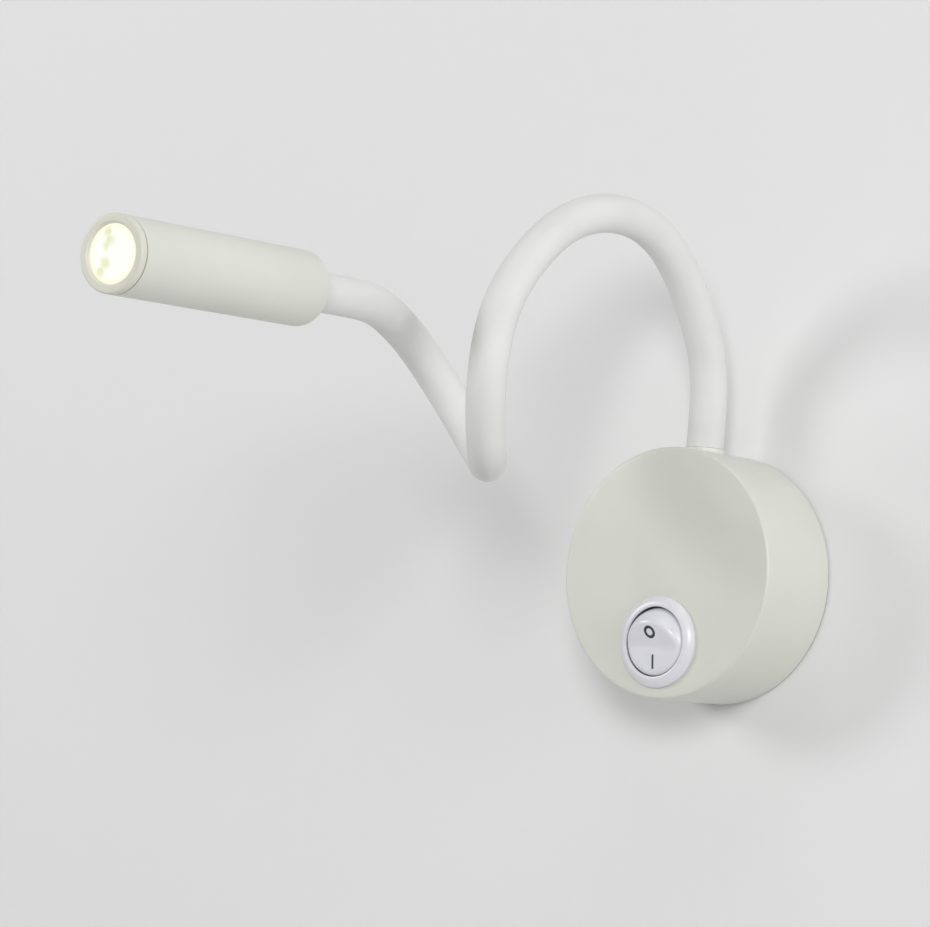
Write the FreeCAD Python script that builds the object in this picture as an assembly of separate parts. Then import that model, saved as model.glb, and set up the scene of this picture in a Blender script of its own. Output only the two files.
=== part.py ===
import FreeCAD, Part
import math
import os

# Bedside wall reading lamp.  Millimetres.  The origin is the centre of the base's rear face on the
# wall, +Z is up, -Y points out of the wall into the room, and +X is to the right of someone who
# faces the wall.

Vector = FreeCAD.Vector
ORIGIN = Vector(0, 0, 0)
X_AXIS = Vector(1, 0, 0)
Y_AXIS = Vector(0, 1, 0)
Z_AXIS = Vector(0, 0, 1)

# ---- fits shared by every piece ----
loose_gap = 0.3            # between pieces that must not touch
slip_gap = 0.1             # radial gap of a piece that slips into its hole
pivot_gap = 0.05           # radial gap of a running pivot
thread_gap = 0.05          # radial gap left for a thread that is not cut
rear_inset = 0.1           # how far screw ends stay in front of the wall plane

# ---- base shell ----
base_diameter = 80.0
base_depth = 33.0
base_side_wall = 2.0
base_front_wall = 2.0
base_edge_radius = 0.8
edge_count = 1             # small roundings are drawn as this many narrow cones
small_sides = 12           # hidden round pieces are drawn with this many flats
wide_sides = 24
flange_sides = 64

# ---- mounting bracket ----
bracket_sheet = 1.5
bracket_upright_width = 22.0
bracket_wing_width = 16.0
bracket_wing_reach = 34.5
bracket_corner = 3.0
bracket_tab_width = 12.0
bracket_tab_depth = 9.0
bracket_tab_inset = 0.7
bracket_bend_radius = 0.8
wall_slot_spacing = 54.0
wall_slot_length = 9.0
wall_slot_width = 4.5
cable_hole_radius = 7.5

# ---- cable bush in the bracket ----
bush_bore_radius = 4.5
bush_flange_radius = 9.0
bush_flange_height = 1.5

# ---- screws ----
m3_radius = 1.5
m3_head_radius = 2.75
m3_sink_height = 1.65
m3_pan_height = 1.8
shell_screw_length = 6.0
shell_screw_from_wall = 5.0
socket_radius = 1.1
socket_depth = 1.0
earth_screw_radius = 2.0
earth_head_radius = 3.6
earth_head_height = 2.2
earth_washer_radius = 4.4
earth_washer_sheet = 0.8
earth_screw_drop = 16.0
screw_slot_width = 0.8
screw_slot_depth = 0.8

# ---- terminal block on the bracket ----
block_width = 17.0
block_height = 13.0
block_depth = 10.5
block_centre_z = 19.0
block_shoulder = 3.0
pole_spacing = 9.6
pole_bore_radius = 2.6
pole_bar_half = 1.8
pole_wire_radius = 1.4
pole_centre_depth = 4.6
clamp_screw_radius = 1.25
clamp_screw_spacing = 6.0
clamp_well_radius = 1.6
clamp_head_above_bar = 2.0

# ---- driver ----
driver_width = 42.0
driver_height = 21.0
driver_depth = 14.0
driver_wall = 1.2
driver_base_z = -7.0
driver_corner = 2.0
pad_sheet = 0.8
pad_margin = 3.0
board_sheet = 1.6
board_stand_off = 2.4
lid_hole_radius = 1.6
lid_hole_inset = 6.0       # from the case's end to the middle of a wire's hole
lead_hole_offset = 4.2     # from the case's middle to the lamp lead's hole
leg_share = 0.8            # the board's parts are laid out by shares of the board and of the room over it
leg_half = 1.0
coil_share = 0.75
winding_width_share = 0.7
winding_height_share = 1.25
winding_inset_share = 1 / 6
capacitor_share = 0.42
capacitor_along = 0.55
capacitor_low = 0.7
capacitor_length_share = 1.2
rectifier_near = 0.5
rectifier_far = 0.72
rectifier_low = 0.6
rectifier_high = 0.1
rectifier_height_share = 0.5

# ---- rocker switch ----
switch_from_rim = 17.94     # from the shell's lowest point up to the switch centre
cutout_radius = 13.0
flange_radius = 14.5
flange_height = 2.4
flange_land = 0.9
flange_rim = 0.9
opening_radius = 10.98
barrel_wall = 0.65
barrel_depth = 9.5
cavity_depth = 8.0
block_half_width = 6.5
block_half_height = 10.5
switch_body_depth = 17.5
chamber_half_width = 3.2
chamber_half_height = 8.2
chamber_floor = 2.0
snap_height = 0.8
snap_length = 4.5
snap_half_width = 3.0
pivot_below_flange = 5.4
rocker_radius = 12.0
rocker_face_distance = 5.82
rocker_half_throw = 14.0
rocker_skirt = 1.0
rocker_wall = 1.8
rocker_valley_radius = 5.0
rocker_top_angle = 62.0
rocker_count = 3
rocker_sides = 40
axle_radius = 1.5
axle_reach = 12.65
stem_radius = 2.8
stem_reach = 6.0
spring_seat = 2.4
plunger_radius = 1.6
plunger_reach = 8.5
plunger_length = 5.0
lever_sheet = 0.6
lever_half_length = 6.0
lever_half_width = 2.0
lever_tilt = 8.0
lever_contact_at = 5.2
contact_radius = 1.0
contact_height = 0.5
blade_sheet = 0.8
blade_half_width = 2.4
blade_reach = 7.0
saddle_half_width = 1.6

# ---- flexible arm ----
hose_radius = 6.0
hose_wall = 1.1
core_radius = 4.3
core_bore_radius = 2.85
hose_sides = 12            # the soft hose and what it hides are drawn with flat facets
core_sides = 8
arm_facet = 10.0
lead_facet = 8.0
wire_facet = 2.5
core_bend_gap = 1.5        # each core section stops this far from the bend's centre
lead_radius = 1.5
lead_sides = 6
arm_from_wall = 17.5
arm_seat_depth = 0.5
fitting_thread_radius = 5.0
fitting_thread_length = 11.5
fitting_flange_radius = 6.3
fitting_flange_height = 1.5
fitting_spigot_length = 8.0
fitting_bore_radius = 2.0
nut_flats = 14.0
nut_height = 3.5
washer_radius = 7.5
washer_sheet = 0.9
washer_drop = 0.85         # the flat washer bridges the shell's round inner wall

# The arm's route as it is bent in the rest position, measured from the middle of its seat on top
# of the base.  Straight runs between these points are joined by tangent arcs.
arm_route = [
    (0.0, 0.0, 0.0), (0.0, 0.0, 30.5), (0.0, -32.5, 70.5), (0.0, -79.0, 67.0), (0.0, -109.5, 34.5),
    (0.0, -111.5, 4.5), (-9.0, -96.5, -12.5), (-37.0, -62.5, -11.5), (-56.0, -59.0, 7.5),
    (-59.0, -78.5, 25.5), (-39.0, -113.5, 29.0), (-33.5, -126.5, 31.1), (-30.2, -162.9, 30.1)]
arc_share = 0.48           # an arc takes this share of the shorter of its two runs
bend_stations = [24.0, 86.0, 152.0, 226.0, 296.0, 360.0]

# ---- lamp head, measured along its own axis from the end of the hose ----
head_radius = 11.25
head_length = 85.0
head_bore_radius = 9.95
head_edge_radius = 0.8
head_rear_wall = 6.0
bezel_length = 2.2
seam_gap = 0.3
bezel_aperture_radius = 8.45
bezel_lip = 1.6
bezel_edge_radius = 0.7
bezel_spigot_length = 5.8
bezel_spigot_wall = 0.55
lens_rim_height = 1.2
lens_seat = 0.1
lens_rear_radius = 3.0
lens_cone_length = 8.0
lens_well_radius = 2.0
lens_well_depth = 2.6
holder_wall = 0.8
led_board_sheet = 1.6
led_board_below_lens = 1.6
led_square = 3.5
led_square_height = 0.8
led_dome_radius = 1.3
heat_sink_length = 24.0
heat_sink_groove = 1.2
heat_sink_grooves = 2
board_screw_ring = 6.2
m2_radius = 1.0
m2_head_radius = 1.8
m2_head_height = 1.2
m2_length = 6.0
led_lead_radius = 0.6
led_lead_ring = 6.2
lead_end_in_head = 12.0

# ---- wiring inside the base ----
wire_radius = 0.9
wire_sides = 6
join_tolerance = 1e-7      # points closer than this are the same corner
level_share = 0.9          # a direction nearer to X than this takes Y for its cross direction


# ---- values worked out from the ones above ----
base_radius = base_diameter / 2
shell_bore_radius = base_radius - base_side_wall
front_y = -base_depth
front_inner_y = front_y + base_front_wall
switch_z = switch_from_rim - base_radius
pivot_y = front_y - flange_height + pivot_below_flange
barrel_radius = cutout_radius - slip_gap
cavity_radius = barrel_radius - barrel_wall
seat_z = base_radius - arm_seat_depth
arm_seat = Vector(0, -arm_from_wall, seat_z)
hose_start_z = fitting_flange_height + slip_gap
tab_outer_z = shell_bore_radius - bracket_tab_inset
block_front_y = -bracket_sheet - block_depth
driver_front_y = front_inner_y + pad_sheet
driver_rear_y = driver_front_y + driver_depth
lens_radius = head_bore_radius - slip_gap - bezel_spigot_wall - slip_gap
lens_front = head_length - bezel_lip - lens_seat
lens_back = lens_front - lens_rim_height - lens_cone_length
board_top = lens_back - led_board_below_lens
sink_top = board_top - led_board_sheet


# ---------------------------------------------------------------- shared building functions
def box(low, high):
    size = Vector(*high) - Vector(*low)
    return Part.makeBox(size.x, size.y, size.z, Vector(*low))


def rod(radius, start, direction, length):
    return Part.makeCylinder(radius, length, Vector(*start), Vector(*direction))


def ring_of(radius, centre, direction, sides, across=None):
    """The corners of a regular polygon on a circle about centre, square to direction."""
    if across is None:
        across = direction.cross(X_AXIS if abs(direction.x) < level_share else Y_AXIS)
        across.normalize()
    upward = direction.cross(across)
    corners = []
    for corner in range(sides):
        angle = 2 * math.pi * corner / sides
        corners.append(centre + across * (radius * math.cos(angle)) + upward * (radius * math.sin(angle)))
    return corners


def flat_face(corners):
    return Part.Face(Part.makePolygon(corners + corners[:1]))


def skin(low, high, twisted):
    """Flat faces between two rings of corners, as triangles where the rings are turned."""
    faces = []
    for here in range(len(low)):
        after = (here + 1) % len(low)
        if twisted:
            faces.append(flat_face([low[here], low[after], high[after]]))
            faces.append(flat_face([low[here], high[after], high[here]]))
        else:
            faces.append(flat_face([low[here], low[after], high[after], high[here]]))
    return faces


def stacked(rings, twisted=False):
    """A solid whose flat faces run from ring to ring, closed by the first and the last."""
    faces = [flat_face(rings[0]), flat_face(rings[-1])]
    for low, high in zip(rings, rings[1:]):
        faces += skin(low, high, twisted)
    solid = Part.Solid(Part.Shell(faces))
    if solid.Volume < 0:
        solid.reverse()
    return solid


def flat_rod(radius, start, direction, length, sides=0):
    """A hidden round bar drawn with flat sides, its corners at the radius."""
    base = ring_of(radius, Vector(*start), Vector(*direction), sides or small_sides)
    return flat_face(base).extrude(Vector(*direction) * length)


def flat_bore(radius, start, direction, length, sides=0):
    """The hole for a flat-sided bar: its flats, not its corners, are at the radius."""
    sides = sides or small_sides
    return flat_rod(radius / math.cos(math.pi / sides), start, direction, length, sides)


def flat_cone(radius_low, radius_high, start, direction, length):
    way = Vector(*direction)
    return stacked([ring_of(radius_low, Vector(*start), way, small_sides),
                    ring_of(radius_high, Vector(*start) + way * length, way, small_sides)])


def face_of(steps):
    """A face from points; a step (middle, end) is an arc through middle to end."""
    edges = []
    here = first = Vector(*steps[0])
    for step in steps[1:]:
        if isinstance(step[0], tuple):
            middle = Vector(*step[0])
            there = Vector(*step[1])
            edges.append(Part.Arc(here, middle, there).toShape())
        else:
            there = Vector(*step)
            edges.append(Part.LineSegment(here, there).toShape())
        here = there
    if (here - first).Length > join_tolerance:
        edges.append(Part.LineSegment(here, first).toShape())
    return Part.Face(Part.Wire(edges))


def turned_about_y(outline, centre_z=0.0):
    """Revolves (radius, y) steps about the line x = 0, z = centre_z."""
    def place(step):
        if isinstance(step[0], tuple):
            return tuple(place(corner) for corner in step)
        return (step[0], step[1], centre_z)
    face = face_of([place(step) for step in outline])
    return face.revolve(Vector(0, 0, centre_z), Y_AXIS, 360)


def turned_about_z(outline):
    """Revolves (radius, z) steps about the Z axis."""
    def place(step):
        if isinstance(step[0], tuple):
            return tuple(place(corner) for corner in step)
        return (step[0], 0, step[1])
    face = face_of([place(step) for step in outline])
    return face.revolve(ORIGIN, Z_AXIS, 360)


def arc_steps(centre, radius, first, last, bands):
    """Points on an arc about centre, from the angle first to last in degrees, one band apart."""
    steps = []
    for number in range(bands + 1):
        angle = math.radians(first + (last - first) * number / bands)
        steps.append((centre[0] + radius * math.cos(angle), centre[1] + radius * math.sin(angle)))
    return steps


def bevelled_plate(width, height, corner, low_y, high_y, centre_z=0.0):
    plate = box((-width / 2, low_y, centre_z - height / 2), (width / 2, high_y, centre_z + height / 2))
    edges = [edge for edge in plate.Edges
             if abs(edge.Vertexes[0].Y - edge.Vertexes[1].Y) > (high_y - low_y) / 2]
    return plate.makeChamfer(corner, edges)


def hexagon(flats, low_z, height):
    corner = flats / math.sqrt(3)
    points = [Vector(corner * math.cos(math.radians(60 * turn)),
                     corner * math.sin(math.radians(60 * turn)), low_z) for turn in range(7)]
    return Part.Face(Part.makePolygon(points)).extrude(Vector(0, 0, height))


def slotted(piece, centre, width, depth, reach, axis):
    """Cuts a driver slot into a screw head whose top is at centre and faces along axis."""
    half = width / 2
    if axis == "y":
        low = (centre[0] - reach, centre[1], centre[2] - half)
        high = (centre[0] + reach, centre[1] + depth, centre[2] + half)
    else:
        low = (centre[0] - reach, centre[1] - half, centre[2] - depth)
        high = (centre[0] + reach, centre[1] + half, centre[2])
    return piece.cut(box(low, high))


def save(name, *solids):
    shape = solids[0] if len(solids) == 1 else Part.makeCompound(list(solids))
    for solid in shape.Solids:
        if not solid.isValid():
            raise ValueError(name + " is not a valid solid")
    if not shape.Solids:
        raise ValueError(name + " holds no solid")
    if len(shape.Solids) == 1:
        shape = shape.Solids[0]
    shape.exportStep("parts/" + name + ".step")


# ---------------------------------------------------------------- routes of tubes
def route_pieces(points, share):
    """Lines and arcs along points: ('line', start, end) or ('arc', centre, start arm, axis, turn)."""
    corners = [Vector(*point) for point in points]
    pieces = []
    radii = []
    here = corners[0]
    for before, corner, after in zip(corners, corners[1:], corners[2:]):
        run_in = corner - before
        run_out = after - corner
        shorter = min(run_in.Length, run_out.Length)
        run_in.normalize()
        run_out.normalize()
        turn = run_in.getAngle(run_out)
        setback = share * shorter
        radius = setback / math.tan(turn / 2)
        start = corner - run_in * setback
        axis = run_in.cross(run_out)
        axis.normalize()
        centre = start + axis.cross(run_in) * radius
        pieces.append(("line", here, start))
        pieces.append(("arc", centre, start - centre, axis, turn))
        here = corner + run_out * setback
        radii.append(radius)
    pieces.append(("line", here, corners[-1]))
    return pieces, radii


def piece_length(piece):
    if piece[0] == "line":
        return (piece[2] - piece[1]).Length
    return piece[2].Length * piece[4]


def point_on(piece, along):
    if piece[0] == "line":
        direction = piece[2] - piece[1]
        direction.normalize()
        return piece[1] + direction * along, direction
    turn = along / piece[2].Length
    arm = FreeCAD.Rotation(piece[3], math.degrees(turn)).multVec(piece[2])
    direction = piece[3].cross(arm)
    direction.normalize()
    return piece[1] + arm, direction


def point_at(pieces, along):
    for piece in pieces:
        length = piece_length(piece)
        if along <= length:
            return point_on(piece, along)
        along -= length
    return point_on(pieces[-1], piece_length(pieces[-1]) + along)


def route_length(pieces):
    return sum(piece_length(piece) for piece in pieces)


def facet_stops(first, last, step):
    """Where the facets change along a route: the same places for every tube on that route."""
    stops = [first]
    count = math.floor(first / step) + 1
    while count * step < last:
        if count * step - first > step / 2 and last - count * step > step / 2:
            stops.append(count * step)
        count += 1
    return stops + [last]


def rings_along(pieces, stops, radius, sides):
    """Rings of corners square to the route at each stop, carried along it without turning."""
    rings = []
    across = None
    for stop in stops:
        centre, direction = point_at(pieces, stop)
        if across is None:
            across = direction.cross(X_AXIS if abs(direction.x) < level_share else Y_AXIS)
        across = across - direction * across.dot(direction)
        across.normalize()
        rings.append(ring_of(radius, centre, direction, sides, across))
    return rings


def faceted_bar(pieces, radius, sides, first, last, step):
    """A bar of flat facets that follows the route from first to last."""
    return stacked(rings_along(pieces, facet_stops(first, last, step), radius, sides), True)


def faceted_tube(pieces, radius, bore, sides, first, last, step):
    """A tube of flat facets that follows the route; the flats of its bore are at the bore radius."""
    stops = facet_stops(first, last, step)
    outer = rings_along(pieces, stops, radius, sides)
    inner = rings_along(pieces, stops, bore / math.cos(math.pi / sides), sides)
    faces = skin(outer[0], inner[0], False) + skin(outer[-1], inner[-1], False)
    for low, high in zip(range(len(stops)), range(1, len(stops))):
        faces += skin(outer[low], outer[high], True) + skin(inner[low], inner[high], True)
    tube = Part.Solid(Part.Shell(faces))
    if tube.Volume < 0:
        tube.reverse()
    return tube


def moved_route(points, offset):
    return [tuple(Vector(*point) + offset) for point in points]


# ---------------------------------------------------------------- base
def make_base_shell():
    edge_centre = (base_radius - base_edge_radius, front_y + base_edge_radius)
    edge = arc_steps(edge_centre, base_edge_radius, -90, 0, edge_count)
    shell = turned_about_y([(0, front_y)] + edge + [
        (base_radius, 0),
        (shell_bore_radius, 0), (shell_bore_radius, front_inner_y), (0, front_inner_y)])
    shell = shell.cut(rod(cutout_radius, (0, front_y - 1, switch_z), (0, 1, 0), base_front_wall + 2))
    spot_face = rod(fitting_flange_radius + slip_gap, tuple(arm_seat), (0, 0, 1), base_side_wall)
    arm_hole = rod(fitting_thread_radius + slip_gap, (0, arm_seat.y, 0), (0, 0, 1), base_radius)
    shell = shell.cut(spot_face).cut(arm_hole)
    for side in (1, -1):
        hole = rod(m3_radius + slip_gap, (0, -shell_screw_from_wall, 0), (0, 0, side), base_radius)
        sink = flat_cone(m3_radius + slip_gap, m3_head_radius + 2 * slip_gap,
                         (0, -shell_screw_from_wall, side * (base_radius - m3_sink_height - slip_gap)),
                         (0, 0, side), m3_sink_height + 2 * slip_gap)
        shell = shell.cut(hole).cut(sink)
    save("base_shell", shell)


def make_bracket():
    upright = box((-bracket_upright_width / 2, -bracket_sheet, -tab_outer_z + bracket_bend_radius),
                  (bracket_upright_width / 2, 0, tab_outer_z - bracket_bend_radius))
    wings = bevelled_plate(2 * bracket_wing_reach, bracket_wing_width, bracket_corner,
                           -bracket_sheet, 0)
    disc = rod(bracket_upright_width / 2 + bracket_corner, (0, -bracket_sheet, 0), (0, 1, 0),
               bracket_sheet)
    bracket = upright.fuse(wings).fuse(disc)
    outer_bend = bracket_bend_radius + bracket_sheet
    for side in (1, -1):
        corner_z = tab_outer_z - outer_bend
        bend_outline = [
            (corner_z, 0),
            ((corner_z + outer_bend * math.sin(math.pi / 4), -outer_bend * (1 - math.cos(math.pi / 4))),
             (tab_outer_z, -outer_bend)),
            (tab_outer_z, -bracket_tab_depth), (tab_outer_z - bracket_sheet, -bracket_tab_depth),
            (tab_outer_z - bracket_sheet, -outer_bend),
            ((corner_z + bracket_bend_radius * math.sin(math.pi / 4),
              -outer_bend + bracket_bend_radius * math.cos(math.pi / 4)),
             (corner_z, -bracket_sheet))]
        half = bracket_tab_width / 2

        def place(step):
            if isinstance(step[0], tuple):
                return tuple(place(corner) for corner in step)
            return (-half, step[1], side * step[0])
        tab = face_of([place(step) for step in bend_outline]).extrude(Vector(bracket_tab_width, 0, 0))
        notch_low = corner_z
        for edge in (1, -1):
            low_x, high_x = sorted((edge * half, edge * bracket_upright_width))
            low_z, high_z = sorted((side * notch_low, side * base_radius))
            bracket = bracket.cut(box((low_x, -bracket_sheet, low_z), (high_x, 0, high_z)))
        low_z, high_z = sorted((side * corner_z, side * base_radius))
        bracket = bracket.cut(box((-half, -bracket_sheet, low_z), (half, 0, high_z)))
        bracket = bracket.fuse(tab)
        bracket = bracket.cut(rod(m3_radius + thread_gap, (0, -shell_screw_from_wall, side * corner_z),
                                  (0, 0, side), 2 * outer_bend))
    bracket = bracket.cut(rod(cable_hole_radius, (0, -bracket_sheet, 0), (0, 1, 0), bracket_sheet))
    for side in (1, -1):
        half_run = (wall_slot_length - wall_slot_width) / 2
        middle = side * wall_slot_spacing / 2
        slot = box((middle - half_run, -bracket_sheet, -wall_slot_width / 2),
                   (middle + half_run, 0, wall_slot_width / 2))
        for end in (-half_run, half_run):
            slot = slot.fuse(rod(wall_slot_width / 2, (middle + end, -bracket_sheet, 0), (0, 1, 0),
                                 bracket_sheet))
        bracket = bracket.cut(slot)
    bracket = bracket.cut(rod(m3_radius + thread_gap, (0, -bracket_sheet, block_centre_z), (0, 1, 0),
                              bracket_sheet))
    bracket = bracket.cut(rod(earth_screw_radius + thread_gap, (0, -bracket_sheet, -earth_screw_drop),
                              (0, 1, 0), bracket_sheet))
    save("mounting_bracket", bracket.removeSplitter())


def make_shell_screws():
    screws = []
    for side in (1, -1):
        top = base_radius - slip_gap
        head = flat_cone(m3_radius, m3_head_radius,
                         (0, -shell_screw_from_wall, side * (top - m3_sink_height)), (0, 0, side),
                         m3_sink_height)
        shank = flat_rod(m3_radius, (0, -shell_screw_from_wall, side * (top - shell_screw_length)),
                         (0, 0, side), shell_screw_length - m3_sink_height)
        socket = flat_rod(socket_radius, (0, -shell_screw_from_wall, side * (top - socket_depth)),
                          (0, 0, side), socket_depth, 6)
        screws.append(head.fuse(shank).cut(socket).removeSplitter())
    save("shell_fixing_screws", *screws)


def make_cable_bush():
    body_radius = cable_hole_radius - slip_gap
    flange_y = -bracket_sheet - bush_flange_height
    bush = flat_rod(bush_flange_radius, (0, flange_y, 0), (0, 1, 0), bush_flange_height, wide_sides)
    bush = bush.fuse(flat_rod(body_radius, (0, flange_y, 0), (0, 1, 0), -rear_inset - flange_y, wide_sides))
    bush = bush.cut(rod(bush_bore_radius, (0, flange_y, 0), (0, 1, 0), -rear_inset - flange_y))
    save("cable_bush", bush.removeSplitter())


# ---------------------------------------------------------------- terminal block and earth screw
def make_terminal_block():
    low_z = block_centre_z - block_height / 2
    half = block_width / 2
    top = block_front_y
    outline = [
        (-half, -bracket_sheet, low_z), (-half, top + block_shoulder, low_z),
        (-half + block_shoulder, top, low_z), (half - block_shoulder, top, low_z),
        (half, top + block_shoulder, low_z), (half, -bracket_sheet, low_z)]
    block = face_of(outline).extrude(Vector(0, 0, block_height))
    centre_y = -bracket_sheet - pole_centre_depth
    for side in (1, -1):
        pole_x = side * pole_spacing / 2
        block = block.cut(flat_bore(pole_bore_radius, (pole_x, centre_y, low_z), (0, 0, 1), block_height))
        for end in (1, -1):
            well_z = block_centre_z + end * clamp_screw_spacing / 2
            block = block.cut(flat_bore(clamp_well_radius, (pole_x, top, well_z), (0, 1, 0),
                                        centre_y - top))
    block = block.cut(flat_bore(m3_radius + slip_gap, (0, top, block_centre_z), (0, 1, 0), block_depth))
    block = block.cut(flat_bore(m3_head_radius + slip_gap, (0, top, block_centre_z), (0, 1, 0),
                                block_depth / 2))
    save("terminal_block", block)


def make_terminal_clamps():
    centre_y = -bracket_sheet - pole_centre_depth
    length = block_height - 2 * loose_gap
    sleeves = []
    screws = []
    for side in (1, -1):
        pole_x = side * pole_spacing / 2
        sleeve = box((pole_x - pole_bar_half, centre_y - pole_bar_half, block_centre_z - length / 2),
                     (pole_x + pole_bar_half, centre_y + pole_bar_half, block_centre_z + length / 2))
        sleeve = sleeve.cut(flat_bore(pole_wire_radius, (pole_x, centre_y, block_centre_z - length / 2),
                                      (0, 0, 1), length))
        for end in (1, -1):
            screw_z = block_centre_z + end * clamp_screw_spacing / 2
            hole = flat_bore(clamp_screw_radius + thread_gap, (pole_x, centre_y - pole_bar_half, screw_z),
                             (0, 1, 0), pole_bar_half)
            sleeve = sleeve.cut(hole)
            head_y = centre_y - pole_bar_half - clamp_head_above_bar
            screw = flat_rod(clamp_screw_radius, (pole_x, head_y, screw_z), (0, 1, 0),
                             centre_y - pole_wire_radius / 2 - head_y)
            screws.append(slotted(screw, (pole_x, head_y, screw_z), screw_slot_width / 2,
                                  screw_slot_depth, clamp_well_radius, "y"))
        sleeves.append(sleeve)
    save("terminal_sleeves", *sleeves)
    save("terminal_clamp_screws", *screws)


def make_block_screw():
    seat_y = block_front_y + block_depth / 2
    head = flat_rod(m3_head_radius, (0, seat_y - m3_pan_height, block_centre_z), (0, 1, 0),
                    m3_pan_height)
    shank = flat_rod(m3_radius, (0, seat_y, block_centre_z), (0, 1, 0), -rear_inset - seat_y)
    screw = slotted(head.fuse(shank), (0, seat_y - m3_pan_height, block_centre_z), screw_slot_width,
                    screw_slot_depth, m3_head_radius, "y")
    save("block_fixing_screw", screw)


def make_earth_screw():
    washer_y = -bracket_sheet - earth_washer_sheet
    head_y = washer_y - earth_head_height
    head = flat_rod(earth_head_radius, (0, head_y, -earth_screw_drop), (0, 1, 0), earth_head_height)
    shank = flat_rod(earth_screw_radius, (0, washer_y, -earth_screw_drop), (0, 1, 0),
                     -rear_inset - washer_y)
    screw = slotted(head.fuse(shank), (0, head_y, -earth_screw_drop), screw_slot_width,
                    screw_slot_depth, earth_head_radius, "y")
    washer = flat_rod(earth_washer_radius, (0, washer_y, -earth_screw_drop), (0, 1, 0),
                      earth_washer_sheet)
    washer = washer.cut(flat_bore(earth_screw_radius + slip_gap, (0, washer_y, -earth_screw_drop),
                                  (0, 1, 0), earth_washer_sheet))
    save("earth_screw", screw)
    save("earth_washer", washer)


# ---------------------------------------------------------------- driver
driver_mid_z = driver_base_z + driver_height / 2
input_hole = (-driver_width / 2 + lid_hole_inset, driver_mid_z)
neutral_hole = (driver_width / 2 - lid_hole_inset, driver_mid_z)
output_hole = (lead_hole_offset, (driver_front_y + driver_rear_y) / 2)


def make_driver():
    case = bevelled_plate(driver_width, driver_height, driver_corner, driver_front_y, driver_rear_y,
                          driver_mid_z)
    inner_x = driver_width / 2 - driver_wall
    inner_z = driver_height / 2 - driver_wall
    hollow = box((-inner_x, driver_front_y + driver_wall, driver_mid_z - inner_z),
                 (inner_x, driver_rear_y, driver_mid_z + inner_z))
    lead_exit = flat_bore(lead_radius + loose_gap, (output_hole[0], output_hole[1], driver_mid_z),
                          (0, 0, 1), driver_height)
    save("driver_case", case.cut(hollow).cut(lead_exit))
    lid_x = inner_x - slip_gap
    lid_z = inner_z - slip_gap
    lid = box((-lid_x, driver_rear_y - driver_wall, driver_mid_z - lid_z),
              (lid_x, driver_rear_y, driver_mid_z + lid_z))
    for hole_x, hole_z in (input_hole, neutral_hole):
        lid = lid.cut(flat_bore(lid_hole_radius, (hole_x, driver_rear_y - driver_wall, hole_z),
                                (0, 1, 0), driver_wall))
    save("driver_lid", lid)
    pad = box((-driver_width / 2 + pad_margin, front_inner_y, driver_base_z + pad_margin),
              (driver_width / 2 - pad_margin, driver_front_y, driver_base_z + driver_height - pad_margin))
    save("driver_pad", pad)


def make_driver_board():
    board_y = driver_front_y + driver_wall + board_stand_off
    half_x = driver_width / 2 - driver_wall - loose_gap
    half_z = driver_height / 2 - driver_wall - loose_gap
    board = box((-half_x, board_y, driver_mid_z - half_z),
                (half_x, board_y + board_sheet, driver_mid_z + half_z))
    for end in (1, -1):
        leg_x = end * half_x * leg_share
        board = board.fuse(box((leg_x - leg_half, driver_front_y + driver_wall, driver_mid_z - leg_half),
                               (leg_x + leg_half, board_y, driver_mid_z + leg_half)))
    top_y = board_y + board_sheet
    room = driver_rear_y - driver_wall - loose_gap - top_y
    coil_half = room * coil_share
    transformer = box((-coil_half, top_y, driver_mid_z - coil_half),
                      (coil_half, top_y + room, driver_mid_z + coil_half))
    winding_x = coil_half * winding_width_share
    winding_z = coil_half * winding_height_share
    winding_inset = room * winding_inset_share
    winding = box((-winding_x, top_y + winding_inset, driver_mid_z - winding_z),
                  (winding_x, top_y + room - winding_inset, driver_mid_z + winding_z))
    capacitor_radius = room * capacitor_share
    capacitor_foot = (-half_x * capacitor_along, top_y + capacitor_radius, driver_mid_z - half_z * capacitor_low)
    capacitor = flat_rod(capacitor_radius, capacitor_foot, (0, 0, 1), half_z * capacitor_length_share)
    rectifier = box((half_x * rectifier_near, top_y, driver_mid_z - half_z * rectifier_low),
                    (half_x * rectifier_far, top_y + room * rectifier_height_share,
                     driver_mid_z + half_z * rectifier_high))
    save("driver_board", board, transformer.fuse(winding), capacitor, rectifier)


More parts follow.
